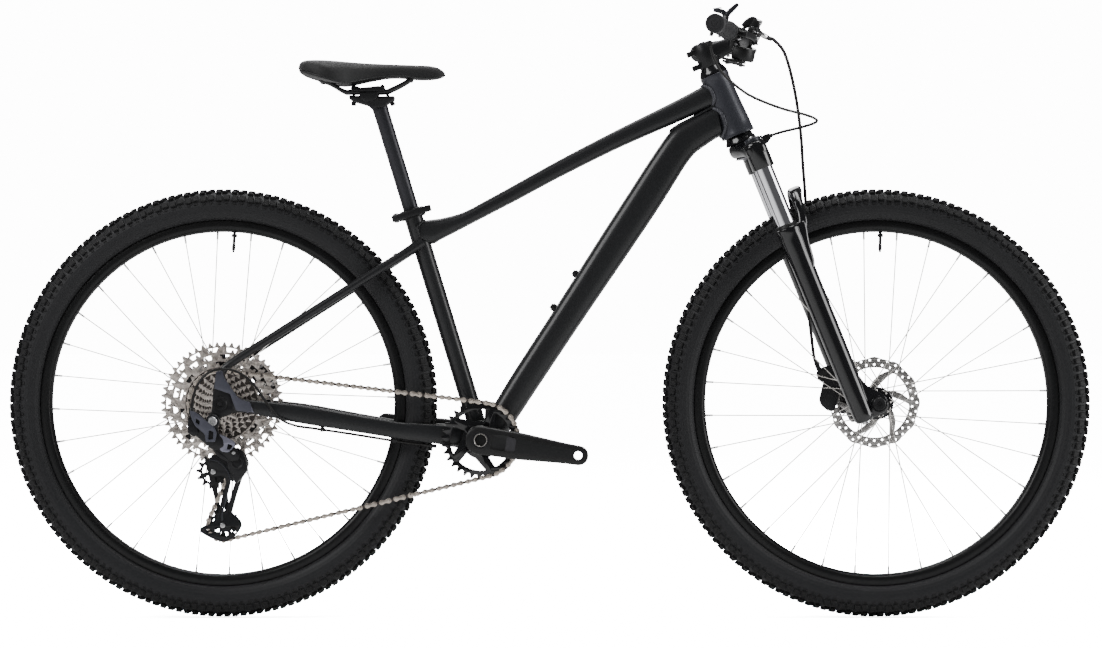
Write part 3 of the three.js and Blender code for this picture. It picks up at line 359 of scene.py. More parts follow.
ROTOR = surface("rotor_steel", (0.40, 0.39, 0.38), 0.36, 0.9, 700, 0.15, 0.15, 0.1)
# Nickel broken by strong small dark spots: the spotting is painted shade for the gaps between the teeth.
NICKEL_AND_SHADE = surface("cog_nickel_with_painted_shade", (0.62, 0.565, 0.52), 0.36, 0.9, 350, 0.3, 0.62, 0.12, spot=240.0)
CHAIN = surface("chain_steel", (0.56, 0.50, 0.44), 0.34, 0.9, 300, 0.15, 0.3, 0.12)
# Dark steel of the chain's inner plates, also used as painted shade on thin discs behind the cogs.
CHAIN_DARK_AND_COG_SHADE = surface("chain_inner_steel_and_cog_shade", (0.07, 0.06, 0.055), 0.42, 0.6, 300, 0.15, 0.3, 0.12)
TREAD = surface("tread_rubber", (0.0075, 0.0075, 0.008), 0.68, 0.0, 350, 0.35, 0.3, 0.1)
SIDEWALL = surface("sidewall_rubber", (0.0095, 0.0095, 0.011), 0.56, 0.0, 1200, 0.2, 0.15, 0.07,
                   sheen=0.1)
RIM = surface("rim_anodised", (0.006, 0.006, 0.0065), 0.34, 0.1, 500, 0.06, 0.2, 0.06)
PLASTIC = surface("moulded_plastic", (0.008, 0.008, 0.0085), 0.46, 0.0, 900, 0.25, 0.2, 0.08)
CAGE = surface("cage_black", (0.009, 0.009, 0.0105), 0.34, 0.0, 700, 0.12, 0.2, 0.08)
# Grey of the derailleur links, also used as painted highlight on two stripes on the right dropout.
LINK_GREY_AND_HIGHLIGHT = surface("link_grey_and_painted_highlight", (0.20, 0.20, 0.25), 0.34, 0.5, 600, 0.08, 0.15, 0.06)
MECH = surface("mech_grey", (0.026, 0.027, 0.033), 0.33, 0.2, 700, 0.1, 0.15, 0.06)
GRIP = surface("grip_rubber", (0.017, 0.017, 0.019), 0.62, 0.0, 900, 0.3, 0.15, 0.08, sheen=0.1)
HOSE = surface("hose_jacket", (0.008, 0.0075, 0.0075), 0.40, 0.0, 900, 0.08, 0.2, 0.06)
COVER = surface("saddle_cover", (0.008, 0.008, 0.0085), 0.58, 0.0, 1500, 0.5, 0.15, 0.08,
                sheen=0.15)
CRANKS = surface("crank_anodised", (0.0095, 0.0095, 0.010), 0.40, 0.0, 1100, 0.15, 0.12, 0.06)
RIDGE = surface("ridge_grey", (0.075, 0.077, 0.098), 0.36, 0.3, 700, 0.1, 0.15, 0.06)
# The arm's anodised black, lightened: painted highlight for the pocket's sloping face.
FACET_HIGHLIGHT = surface("crank_facet_painted_highlight", (0.034, 0.033, 0.037), 0.40, 0.0, 1100, 0.15, 0.12, 0.06)
# Light grey-blue of the paddle's pad: painted highlight on its upward face.
PAD_HIGHLIGHT = surface("paddle_pad_painted_highlight", (0.09, 0.11, 0.15), 0.45, 0.1, 700, 0.15, 0.12, 0.06)
# Near-black used only as painted shade inside the spindle's bore.
BORE_SHADE = surface("bore_painted_shade", (0.004, 0.004, 0.004), 0.65, 0.0, 300, 0.1, 0.2, 0.05)


# ------------------------------------------------------------------ pieces
def solid(name, shape, material, edge=0.0, angle=38.0):
    """A mesh object in metres. edge rounds its sharp edges by that many millimetres."""
    mesh = bpy.data.meshes.new(name)
    mesh.from_pydata([tuple(v * MM) for v in shape[0]], [], shape[1])
    bm = bmesh.new()
    bm.from_mesh(mesh)
    bmesh.ops.remove_doubles(bm, verts=bm.verts, dist=2e-6)
    bmesh.ops.dissolve_degenerate(bm, edges=bm.edges, dist=1e-6)
    bmesh.ops.recalc_face_normals(bm, faces=bm.faces)
    if edge:
        sharp = [e for e in bm.edges if len(e.link_faces) == 2 and e.calc_face_angle(0) > radians(30)]
        bmesh.ops.bevel(bm, geom=sharp, offset=edge * MM, segments=2, affect="EDGES", clamp_overlap=True)
    bm.to_mesh(mesh)
    bm.free()
    mesh.materials.append(material)
    mesh.shade_smooth()
    mesh.set_sharp_from_angle(angle=radians(angle))
    obj = bpy.data.objects.new(name, mesh)
    bpy.context.scene.collection.objects.link(obj)
    return obj


def piece(name, shape, body, material, replaces=(), edge=0.0, angle=38.0):
    """A solid that rides on a body, or on none. It stands for the nodes that it replaces."""
    obj = solid(name, shape, material, edge, angle)
    if body:
        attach(obj, body)
    if replaces:
        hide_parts(*replaces)
    return obj


def bolt(place, r, height, socket=True):
    """A round bolt head with a hexagonal socket, standing on the place's xy plane."""
    head = [(0, height * 0.45), (r * 0.5, height * 0.45), (r * 0.55, height), (r * 0.85, height),
            (r, height * 0.8), (r, 0), (0, 0)]
    solid_head = [(0, height), (r * 0.85, height), (r, height * 0.8), (r, 0), (0, 0)]
    return lathe(head if socket else solid_head, place, 18)


# ------------------------------------------------------------------ frame tubes
def weld(ring, direction, place, radius, bead=1.7):
    """A rippled bead where the tube with this ring runs along direction into a round one about place's z."""
    back = place.inverted()
    turn = back.to_3x3()
    d = (turn @ Vector(direction)).normalized()
    points = []
    for p in spline(ring, 5, closed=True):
        q = back @ p
        a = d.x ** 2 + d.y ** 2
        b = 2 * (q.x * d.x + q.y * d.y)
        c = q.x ** 2 + q.y ** 2 - radius ** 2
        t = (-b - sqrt(max(0.0, b * b - 4 * a * c))) / (2 * a)
        points.append(place @ (q + d * t))
    count = len(points)
    radii = [bead + 0.3 * sin(TAU * 44 * i / count) for i in range(count)]
    return tube(points, radii, 10, closed=True)


HEAD_PROFILE = [(21, -56.7), (28.9, -56.7), (29.6, -56), (29.6, -50.5), (29.0, -49.5), (28.9, -36),
                (27.6, -14), (26.0, 14), (25.1, 38), (25.0, 49), (25.5, 50), (25.5, 56), (24.9, 56.7),
                (21, 56.7)]
piece("headtube", lathe(HEAD_PROFILE, STEER, 72), "frame", HEAD, ["head_tube"])
for name, z in (("headset_upper", HEAD_HALF - 12.5), ("headset_lower", 0.5 - HEAD_HALF)):
    race = [(14.75, z), (20.2, z), (20.4, z + 1), (20.4, z + 11), (20.2, z + 12), (14.75, z + 12)]
    piece(name, lathe(race, STEER, 40), "frame", BOLT, [name + "_bearing"])

TOP_TUBE = [(-236, 688, -236, 650, 0, 15), (-203, 692.3, -203, 649.5, 0, 16.8),
            (-190, 694, -190, 656.3, 0, 17.4), (-161, 701, -161, 671.3, 0, 18.6),
            (-139, 710, -139, 682.8, 0, 19), (-110, 725.8, -110, 697.8, 0, 18.8),
            (-82, 741, -82, 712.4, 0, 18.6), (-52, 757.7, -52, 728, 0, 18.4), (17, 796, 17, 765, 0, 18),
            (105, 842, 105, 809, 0, 19.5), (160, 869.5, 160, 834, 0, 20.3), (220, 899.5, 220, 860, 0, 21),
            (268, 925, 268, 881, 0, 22), (288, 935.5, 288, 889, 0, 22.5)]
DOWN_TUBE = [(-124, 328, -88, 298, 0, 30), (-97, 370.5, -57, 344.5, 0, 30), (-61, 429.5, -19, 402, 0, 30),
             (17, 550, 57.5, 516.5, 0, 28.7), (90.5, 666, 139, 636, 0, 27.4), (139, 741, 188, 709, 0, 26.7),
             (164, 780, 220, 760, 0, 26.2), (186, 813, 237, 787, 0, 25.8), (203, 837, 251.5, 805.5, 0, 25.4),
             (221, 855, 262, 814, 0, 25), (268, 880, 285, 830, 0, 25), (289, 889, 299, 837.5, 0, 25)]


def ring_at(station, power):
    upper, lower = Vector((station[0], 0, station[1])), Vector((station[2], 0, station[3]))
    return oval((upper + lower) / 2, (upper - lower) / 2, Vector((0, station[5], 0)), power)


top_tube = slab([(-224, 689.5, -224, 650, 0, 15.6)] + TOP_TUBE[1:], 3.0)
piece("toptube", top_tube, "frame", PAINT, ["top_tube"], angle=60)
down_tube = slab(DOWN_TUBE, 3.0)
bosses = []
for x, z in ((42.8, 598.6), (4.6, 540.4)):
    out = Vector((-0.835, 0, 0.55))
    place = shift(x, 0, z) @ out.to_track_quat("Z", "Y").to_matrix().to_4x4()
    bosses.append(lathe([(0, -8), (6.6, -8), (6.6, 0.4), (6.1, 1), (0, 1)], place, 24))
    bosses.append(bolt(place @ shift(0, 0, 1), 4.6, 2.8))
piece("downtube", down_tube, "frame", PAINT, ["down_tube"], angle=60)
piece("bottle_bolts", joined(*bosses), "frame", SATIN)

SHELL = along_y(BB_X, BB_Z)
shell = [(17.8, -36.5), (22.3, -36.5), (23, -35.8), (23, 35.8), (22.3, 36.5), (17.8, 36.5)]
piece("bb_shell", lathe(shell, SHELL, 56), "frame", PAINT, ["bottom_bracket_shell"])
cups = [(12.3, -44), (20.2, -44), (20.9, -43.3), (20.9, -36.9), (17.2, -36.7), (17.2, 36.7), (20.9, 36.9),
        (20.9, 43.3), (20.2, 44), (12.3, 44)]
cup_ribs = []
for t in around(16):
    x, z = polar(20.3, t, BB_X, BB_Z)
    cup_ribs += [rod((x, s * 37.2, z), (x, s * 43.2, z), 1.4, 8) for s in (-1, 1)]
piece("bb_unit", joined(lathe(cups, SHELL, 48), *cup_ribs), "frame", SATIN, ["bottom_bracket_unit"])

seat_tube = [(14, 26), (16, 26), (16, 404), (16.3, 406), (16.3, 417.4), (15.8, 418), (14, 418)]
piece("seattube", lathe(seat_tube, SEAT, 48), "frame", PAINT, ["seat_tube"])

seat_ring = [SEAT @ Vector((*polar(16, t), 45)) for t in around(24)]
head_welds = joined(
    weld(ring_at((250, 915.5, 250, 872.5, 0, 21.6), 3.0), (0.9, 0, 0.43), STEER, 26.6, 3.4),
    weld(ring_at(DOWN_TUBE[-2], 3.0), (0.917, 0, 0.398), STEER, 28.6, 3.4),
)
piece("head_welds", head_welds, "frame", BEAD, angle=80)
fillet = slab([(209, 849, 207, 842, 0, 6), (222, 858, 222, 851, 0, 15), (245, 870, 245, 863, 0, 18),
               (268, 883, 268, 876, 0, 19), (286, 893, 286, 885, 0, 19)], 3.0)
piece("tube_fillet", fillet, "frame", PAINT, angle=60)
rear_welds = joined(
    weld(ring_at(TOP_TUBE[2], 3.0), (-1, 0, -0.15), SEAT, 16.4, 2.2),
    weld(ring_at(DOWN_TUBE[1], 3.0), (-0.53, 0, -0.85), SHELL, 23.2, 2.4),
    weld(seat_ring, (0.29, 0, -0.956), SHELL, 23.2, 2.2),
)
piece("rear_welds", rear_welds, "frame", PAINT, angle=80)

# Stays and dropouts. The left side mirrors the right, with a caliper mount in place of the derailleur hanger.
STAY = [(-545, 384, -545, 357, -80, 6), (-514, 379, -514, 355.5, -76, 6.5),
        (-431, 370.5, -431, 339, -65.5, 7.5), (-345, 355.5, -345, 325, -54.8, 7.4),
        (-300, 347.6, -300, 317.7, -49.2, 7.2), (-259, 340.5, -259, 311, -45.9, 6.8),
        (-230, 338.5, -230, 307.2, -43.5, 6.5), (-193, 335.9, -193, 302.3, -41.3, 4.8),
        (-165, 334.2, -165, 299, -34.5, 8.4), (-136, 331, -136, 294, -28, 8)]
AXLE_EYE = hole(-AXLE_X, TYRE_R, 6.3, 28)
DROPOUT = rounded([(-573, 428), (-562, 430), (-554, 406), (-537, 385), (-528, 380), (-530, 359), (-548, 356),
                   (-566, 350), (-570, 334), (-577, 328), (-586, 329), (-590, 338), (-588, 350), (-581, 362),
                   (-579, 398)], 7)
DROPOUT_LEFT = rounded([(-573, 428), (-562, 430), (-554, 406), (-537, 385), (-528, 380), (-530, 359),
                        (-554, 354), (-570, 352), (-581, 362), (-579, 398)], 7)
stay = slab(STAY, 2.6)
plate_right = plate(DROPOUT, -84, -74, SIDE_PLANE, [AXLE_EYE, hole(*HANGER, 4.2)], 1.4)
dropout_face = side_plate([(-574, 428), (-563, 430), (-559.6, 418), (-545, 396), (-535, 382.5), (-514, 374),
                           (-512, 358), (-539, 360.7), (-545, 376), (-549.8, 389.6), (-577, 399)], 2.5, -87.5,
                          -82, 1.2)
well = side_plate([(-577, 400), (-550, 390), (-540, 361), (-553, 352), (-566, 350), (-569, 340), (-579, 334),
                   (-587, 340), (-584, 352), (-579, 366)], 5, -85.4, -80, 1, [AXLE_EYE, hole(*HANGER, 4.2)])
hub_end = lathe([(5.8, -84), (12, -84), (12.8, -85.4), (12.8, -87), (11.8, -88), (9.6, -88), (9, -86.6),
                 (5.8, -86.6)], REAR_AXLE, 32)
# Two small raised ridges on the dropout, coloured light grey as painted highlight: they stand for reflections
# along its edges.
highlight_strips = [side_plate([(x, 358), (x + 3.4, 357.6), (x - 4.6, 376), (x - 8, 377)], 1, -86.6, -80, 0.5)
         for x in (-521, -512)]
recess = lathe([(6.3, -84), (10.2, -84), (10.8, -84.8), (10.8, -85.2), (10.3, -85.6), (6.3, -85.6)],
               REAR_AXLE, 32)
piece("stay_right", stay, "frame", PAINT, ["chainstay_right"], angle=60)
piece("dropout_right", dropout_face, "frame", RIDGE)
piece("dropout_well", joined(plate_right, recess, well, hub_end), "frame", SATIN)
piece("stay_highlight_strips", joined(*highlight_strips), "frame", LINK_GREY_AND_HIGHLIGHT)
mount = side_plate([(-532, 366), (-500, 358), (-486, 362), (-498, 382), (-520, 384)], 4, 66.4, 77, 1.2)
piece("stay_left", placed(stay, FLIP), "frame", PAINT, ["chainstay_left"], angle=60)
plate_left = plate(DROPOUT_LEFT, 74, 84, SIDE_PLANE, [AXLE_EYE], 1.4)
piece("dropout_left", joined(plate_left, placed(recess, FLIP), mount), "frame", HEAD)

SEATSTAY = [(-222, -13, 652), (-262, -28, 625.5), (-302, -43, 600), (-382, -54, 549), (-480, -66, 486.5),
            (-548, -76.5, 443), (-568, -79, 424)]
stay_line = spline(SEATSTAY, 10)
stay_radii = []
for i, p in enumerate(stay_line):
    t = i / (len(stay_line) - 1)
    stay_radii.append(8.2 - 1.4 * t + 1.2 * max(0, 1 - 8 * t))
seatstay = tube(stay_line, stay_radii, 24)
piece("seatstay_r", seatstay, "frame", PAINT, ["seatstay_right"], angle=70)
bridge = rod((-266, -28, 626.5), (-266, 28, 626.5), 5.2, 24)
bridge_welds = [tube([Vector((-266 + 5.6 * cos(a), s * 21.6, 626.5 + 5.6 * sin(a)))
                      for a in around(24)], 1.2, 8, closed=True) for s in (-1, 1)]
piece("seatstay_l", joined(placed(seatstay, FLIP), bridge, *bridge_welds), "frame", PAINT, ["seatstay_left"],
      angle=70)

rear_axle = joined(
    lathe([(0, -88), (4.4, -88), (5, -87.4), (5.6, -86), (5.9, -84), (5.9, 84), (5.9, 85), (0, 85)],
          REAR_AXLE, 28),
    lathe([(0, 86.6), (3, 86.6), (3.4, 88.6), (8.8, 88.6), (9.4, 87.6), (9.4, 84.4), (0, 84.4)],
          REAR_AXLE, 28),
)
piece("rear_axle_bolt", rear_axle, "frame", SATIN, ["rear_axle"])

# ------------------------------------------------------------------ seat clamp, post, rails, saddle
collar = [(16.5, 402), (20.6, 402), (21.6, 403), (21.8, 405), (21.2, 406.4), (21.2, 413.6), (21.8, 415),
          (21.6, 417), (20.6, 418), (16.5, 418)]
lugs = [plate(rounded([(-33, y0), (-20, y0), (-20, y1), (-33, y1)], 2), 403.4, 416.6, SEAT, bevel=1)
        for y0, y1 in ((-9, -2), (2, 13))]
clamp = joined(lathe(collar, SEAT, 48), *lugs,
               placed(rod((-28, -19, 410), (-28, 17, 410), 2.4, 16), SEAT),
               placed(rod((-28, -20, 401.6), (-28, -20, 418.4), 2.4, 16), SEAT))
piece("seat_clamp", clamp, "frame", SATIN, ["seat_clamp_collar"], edge=0.3)
clamp_nut = placed(rod((-28, 13, 410), (-28, 18, 410), 5.5, 24, 0.8), SEAT)
piece("seat_clamp_nut", clamp_nut, "frame", BOLT)
lever_line = [(-35.4, -18), (-34.6, -25.5), (-28, -28.4), (-10, -30.4), (4, -30.8), (22, -29.6), (32, -28.2),
              (34.4, -26.6), (32, -25), (18, -25.8), (0, -25.6), (-20, -23.8), (-21.6, -19.4)]
lever_outline = [tuple(p[:2]) for p in spline([(u, v, 0) for u, v in lever_line], 4, closed=True)]
lever_arm = plate(lever_outline, 404.2, 415.8, SEAT, bevel=1.6)
cam = joined(*(placed(rod((-28, -20, a), (-28, -20, b), 5.2, 28, 0.6), SEAT)
               for a, b in ((402.4, 405.6), (414.4, 417.6))))
piece("seat_lever_arm", lever_arm, "seat_lever", SATIN, ["seat_clamp_lever"])
piece("seat_lever_cam", cam, "seat_lever", BOLT)

hx = BB_X - sin(radians(SEAT_LEAN)) * POST_UP
hz = BB_Z + cos(radians(SEAT_LEAN)) * POST_UP
RAIL_Z = hz + 18
post = lathe([(11.2, 290), (13.4, 290), (13.6, 290.4), (13.6, 596), (14, 600), (13.4, 608), (11.2, 608)],
             SEAT, 44)
boat = rounded([(hx - 51, hz + 12), (hx - 50, hz + 5), (hx - 42, hz + 1), (hx - 17, hz - 6),
                (hx - 12, hz - 12), (hx + 13, hz - 8), (hx + 16, hz - 3), (hx + 28, hz + 4),
                (hx + 28.5, hz + 11), (hx + 8, hz + 10)], 3)
yoke = [plate(boat, -19, 19, SIDE_PLANE, bevel=3)]
for low, high in ((-27.5, -17), (17, 27.5)):
    yoke.append(side_plate([(hx - 33, RAIL_Z - 2), (hx + 1, RAIL_Z - 2), (hx - 2, hz + 6), (hx - 10, hz + 1),
                            (hx - 22, hz + 1), (hx - 30, hz + 6)], 3, low, high, 1))
    yoke.append(side_plate([(hx - 47, RAIL_Z + 1), (hx + 12, RAIL_Z + 1), (hx + 10, RAIL_Z + 7),
                            (hx + 2, RAIL_Z + 10), (hx - 30, RAIL_Z + 6.5), (hx - 38, RAIL_Z + 10),
                            (hx - 47, RAIL_Z + 8)], 2.4, low, high, 1))
for x0, x1 in ((-47, -37), (-1, 10)):
    yoke.append(side_plate([(hx + x0, RAIL_Z + 3.6), (hx + x1, RAIL_Z + 3.6), (hx + x1, RAIL_Z + 8.6),
                            (hx + x0, RAIL_Z + 8.6)], 2, -26, 26, 1))
piece("post_tube", post, "seat", POST, ["seatpost"])
piece("post_head", joined(*yoke), "seat", SATIN, angle=50)
post_bolts = []
for foot, top in ((-43, -43), (24, 5)):
    foot, top = Vector((hx + foot, 0, hz - 1)), Vector((hx + top, 0, RAIL_Z + 13))
    run = (top - foot).normalized()
    post_bolts.append(rod(foot, top, 2.5, 20))
    post_bolts.append(rod(foot - run * 4.4, foot + run * 3, 4.2, 20, 0.6))
    post_bolts.append(rod(top - run * 4.4 + Vector((0, -7, 0)), top - run * 4.4 + Vector((0, 7, 0)), 3.8, 20,
                          0.5))
piece("post_bolts", joined(*post_bolts), "seat", SATIN)

rails = []
for s in (-1, 1):
    line = [(-400, 28 * s, 936), (-390, 27 * s, 931.6), (-379, 26 * s, 927), (-357, 22.6 * s, RAIL_Z + 0.8),
            (-345, 22 * s, RAIL_Z), (-290, 22 * s, RAIL_Z), (-273, 20.5 * s, RAIL_Z + 5),
            (-253, 17 * s, 928.4), (-240, 14 * s, 937)]
    rails.append(tube(spline(line, 8), 3.5, 20))
rails += [rod((-397, s * 20, 933), (-393, s * 35, 934), 5, 20, 1) for s in (-1, 1)]
rails.append(rod((-242, -17, 934.6), (-242, 17, 934.6), 4.2, 20, 1))
piece("rails", joined(*rails), "seat", SATIN, ["saddle_rails"], angle=60)

# x, top, skirt, underside, half width
SADDLE = [(-436, 959, 955, 950, 17), (-433, 964.4, 952, 946, 30), (-425, 967.6, 948, 941, 48),
          (-412, 968.4, 943.5, 936.5, 60), (-396, 968.2, 938, 932, 68), (-378, 967.4, 931.5, 928.5, 68.5),
          (-361, 966.2, 927.6, 925.4, 61), (-345, 965, 928.4, 926, 50), (-326, 963.8, 932, 929.5, 40),
          (-305, 962.8, 936.4, 933.5, 32), (-282, 962, 940, 937, 26.6), (-258, 961.4, 940.6, 937.4, 23.4),
          (-235, 960.8, 937.6, 935, 20.8), (-212, 959.4, 936.8, 934.6, 18.6), (-197, 956.6, 938, 936, 15.4),
          (-187.6, 951.6, 940.4, 938.6, 10.5), (-182.6, 946.8, 943, 941.8, 4)]
top_line = spline([(a, b, c) for a, b, c, d, e in SADDLE], 5)
low_line = spline([(a, d, e) for a, b, c, d, e in SADDLE], 5)
cover, base = [], []
for p, q in zip(top_line, low_line):
    x, top, skirt, under, half = p.x, p.y, p.z, q.y, q.z
    ring = []
    for k in range(49):
        a = pi * k / 48
        c, s = cos(a), sin(a)
        y = half * copysign(abs(c) ** 0.62, c)
        z = skirt + (top - skirt) * s ** 0.55
        channel = 2.6 * exp(-(y / 7.5) ** 2) * min(1, max(0, (x + 432) / 25), max(0, (-212 - x) / 30))
        ring.append(Vector((x, y, z - channel)))
    inner = [Vector((v.x, v.y * 0.93, skirt - 0.4))
             for v in (ring[48], ring[36], ring[24], ring[12], ring[0])]
    cover.append(ring + inner)
    base.append(oval(Vector((x, 0, skirt - 0.5)), Vector((0, 0, skirt - under)), Vector((0, half * 0.95, 0)),
                     2.6, 40))
saddle = piece("saddle_cover", loft(cover), "seat", COVER, ["saddle"], angle=75)
piece("saddle_base", loft(base), "seat", PLASTIC, angle=60)
bead = [Vector((p.x, s * p_half, p.z - 0.3)) for s, order in ((-1, 1), (1, -1))
        for p, p_half in [(a, b.z) for a, b in zip(top_line, low_line)][::order]]
piece("saddle_seam", tube(bead, 1.1, 8, closed=True), "seat", SATIN, angle=80)

# ------------------------------------------------------------------ fork and steering column
LEG = {s: STEER @ shift(LEG_OFF, s * LEG_Y, 0) for s in (-1, 1)}
# y, fore-aft middle, half depth, top, underside
CROWN = [(-84.5, 14.7, 9, -84, -100), (-82, 14.7, 15, -81, -106), (-74, 14.7, 19, -79.6, -110),
         (-62, 14.4, 20.3, -79.2, -108), (-48, 11.5, 21, -77.5, -101), (-34, 7, 23, -73, -98.5),
         (-20, 3, 25.6, -68, -97), (-8, 1.4, 27, -66.2, -96.4), (0, 1, 27.2, -66, -96.2)]
CROWN += [(-y, *rest) for y, *rest in CROWN[-2::-1]]
crown_rings = [oval(STEER @ Vector((mid, y, (top + low) / 2)), STEER_TURN @ Vector((0, 0, (top - low) / 2)),
                    STEER_TURN @ Vector((half, 0, 0)), 2.8, 40) for y, mid, half, top, low in CROWN]
sockets = [lathe([(16.45, -128), (19.4, -128), (20, -127.2), (20, -90), (19.6, -84.6), (18.6, -81.4),
                  (17, -80), (13.5, -79.8), (13.5, -88), (16.45, -88.4)], LEG[s], 44) for s in (-1, 1)]
crown = joined(loft(crown_rings), *sockets,
               lathe([(14.3, -57.4), (23.6, -57.4), (24.2, -58), (24.2, -62), (26.6, -65), (27.6, -70),
                      (14.3, -70)], STEER, 48))
piece("crown", crown, COLUMN, GLOSS, ["fork_crown"], angle=50)
# A thin bright metallic sheet under the crown: painted reflection on the crown's glossy underside.
under = [oval(STEER @ Vector((mid, y, low)), STEER_TURN @ Vector((0, 0, 2.0)),
              STEER_TURN @ Vector((half, 0, 0)), 3, 28)
         for y, mid, half, low in ((-46, 11, 14, -99.5), (-34, 7, 17.5, -97.9), (-20, 3, 20, -96.6),
                                   (0, 1, 21.6, -95.8), (20, 3, 20, -96.6), (34, 7, 17.5, -97.9),
                                   (46, 11, 14, -99.5))]
piece("crown_underside_reflection", loft(under), COLUMN, CROWN_REFLECTION, angle=60)
steerer = sleeve(11.5, 14.3, -70, 112, STEER, 40)
piece("steerer", steerer, COLUMN, SATIN)
preload = lathe([(0, -73.6), (5, -73.6), (5.6, -74.6), (11.4, -74.6), (12.4, -75.4), (12.8, -79.4),
                 (0, -79.4)], LEG[1], 40)
grip_ribs = [placed(rod((*polar(12.6, a), -78.8), (*polar(12.6, a), -76), 0.7, 6), LEG[1])
             for a in around(24)]
piece("air_cap", joined(preload, *grip_ribs), COLUMN, SATIN)
stop = plate(rounded([(11, -90), (38, -90), (48, -84), (48, -75), (38, -74), (26, -79), (11, -81)], 2), 0, 5,
             STEER @ shift(0, -LEG_Y + 14, 0) @ along_y(0, 0), bevel=0.8)
ferrule = rod((378, -51.5, 834.5), (384, -52.6, 836), 3.4, 20, 0.6)
piece("dial_bracket", joined(stop, ferrule), COLUMN, SATIN)
dial_pin = lathe([(0, -68.6), (1.6, -68.6), (2, -69.4), (3.6, -69.4), (4, -70), (4, -80), (0, -80)], LEG[-1],
                 24)
piece("dial_pin", dial_pin, COLUMN, BOLT)
dial = lathe([(4.3, -79.6), (13.6, -79.6), (14.4, -78.8), (14.4, -76.4), (13.8, -75.8), (13.8, -74.6),
              (14.2, -74), (13.2, -72), (9, -71.5), (8.4, -72.2), (4.3, -72.2)], LEG[-1], 48)
dial_arm = plate(rounded([(8, -5), (18.5, -4), (19, 4), (8, 5)], 2), -77, -73.4, LEG[-1], bevel=0.6)
piece("dial_wheel", joined(dial, dial_arm), "dial", MECH, ["lockout_dial"])
for name, s in (("stanchion_right", -1), ("stanchion_left", 1)):
    wall = lathe([(13.5, -392), (15.6, -392), (16, -391.6), (16, -89), (13.5, -89)], LEG[s], 56)
    piece(name + "_tube", wall, COLUMN, CHROME, [name])

leg_profile = [(16.45, -562), (16.45, -240), (18.4, -239.4), (19.4, -238), (21, -238.6), (21.6, -240),
               (21.6, -249), (21.0, -250.5), (21.3, -262), (20.2, -285), (19.6, -310), (19.3, -420),
               (18.9, -540), (18.5, -584), (17.6, -592), (15.4, -597), (12, -598.6), (0, -598.6), (0, -575)]
seal_profile = [(16.1, -240.4), (19.6, -240.4), (19.8, -238), (19.1, -236.8), (18.8, -234.6), (17.4, -232.4),
                (16.3, -231.6), (16.1, -232.6)]
foot = rounded([(LEG_OFF - 14, -500), (LEG_OFF + 14, -500), (38, -540), (56, -561), (63.5, -574), (62, -588),
                (52, -596), (LEG_OFF - 4, -597), (LEG_OFF - 16, -588)], 9)
lowers, seals = [], []
for s in (-1, 1):
    lowers.append(lathe(leg_profile, LEG[s], 56))
    seals.append(lathe(seal_profile, LEG[s], 56))
    low, high = (58.6, 73.4) if s > 0 else (-73.4, -58.6)
    lowers.append(plate(foot, low, high, STEER_PLANE, bevel=2.4))
    boss = [(7.8, 55.4), (13.4, 55.4), (14.4, 56.4), (14.4, 73.6), (13.6, 75), (7.8, 75)]
    eye = STEER @ shift(AXLE_OFF, 0, -AXLE_DROP) @ along_y(0, 0)
    lowers.append(lathe([(r, s * h) for r, h in boss], eye, 40))
# y, fore-aft middle, height, half depth, half height
ARCH = [(66, 30, -258, 11, 12), (66, 37, -250, 10, 12), (64.5, 43.5, -237, 9, 11), (60, 46.5, -221, 8.2, 9.6),
        (50, 48.5, -205, 8.6, 8.8), (30, 51.5, -190.5, 10.5, 8.4), (10, 53.6, -185, 12, 8.4),
        (0, 54, -184.4, 12.2, 8.4)]
ARCH += [(-y, *rest) for y, *rest in ARCH[-2::-1]]
arch_line = [Vector((mid, y, z)) for y, mid, z, deep, half in ARCH]
fine_line = spline(arch_line, 6)
fine_half = spline([(half, deep, 0) for y, mid, z, deep, half in ARCH], 6)
arch_rings = []
for i, (p, half) in enumerate(zip(fine_line, fine_half)):
    run = (fine_line[min(i + 1, len(fine_line) - 1)] - fine_line[max(i - 1, 0)]).normalized()
    across = run.cross(Vector((1, 0, 0))).normalized()
    arch_rings.append(oval(p, across * half.x, across.cross(run).normalized() * half.y, 3.0, 28))
lowers.append(placed(loft(arch_rings), STEER))
for s in (-1, 1):
    pad = rounded([(LEG_OFF + 2, -236), (LEG_OFF + 16, -237), (48, -236), (46, -252), (41, -272),
                   (36.5, -310), (LEG_OFF + 12, -330), (LEG_OFF - 4, -300)], 7)
    low, high = (53, 79) if s > 0 else (-79, -53)
    lowers.append(plate(pad, low, high, STEER_PLANE, bevel=5))
tab = rounded([(6, -500), (-12, -496), (-17, -508), (-6, -520), (-6, -556), (-17, -566), (-10, -578),
               (6, -574)], 3)
lowers.append(plate(tab, 52, 70, STEER_PLANE, bevel=1.5))
piece("lowers", joined(*lowers), "lowers", GLOSS, ["fork_lowers"], angle=48)
piece("dust_seals", joined(*seals), "lowers", PLASTIC)
foot_bolts = []
for s in (-1, 1):
    place = LEG[s] @ turned("X", 180)
    foot_bolts.append(lathe([(0, 600), (3, 600), (3.4, 602.6), (6.2, 602.6), (7, 601.8), (7, 597), (0, 597)],
                            place, 24))
piece("foot_bolts", joined(*foot_bolts), "lowers", SILVER)
axle = sleeve(5, 7.4, -76, 78, FRONT_AXLE, 32)
axle_head = [(0, -77), (4, -77), (4.5, -79.4), (9.6, -79.6), (11, -78.4), (11.4, -75.4), (0, -75.4)]
axle_end = lathe([(0, 78), (3.6, 78), (4, 78.8), (8.8, 78.8), (9.6, 78), (9.6, 75.4), (0, 75.4)], FRONT_AXLE,
                 32)
axle_ribs = rods_round(12, 11, AXLE_X, TYRE_R, -78.6, -75.8, 1.2)
piece("front_axle_bar", joined(axle, axle_end, lathe(axle_head, FRONT_AXLE, 40), *axle_ribs), "lowers", SATIN,
      ["front_axle"])


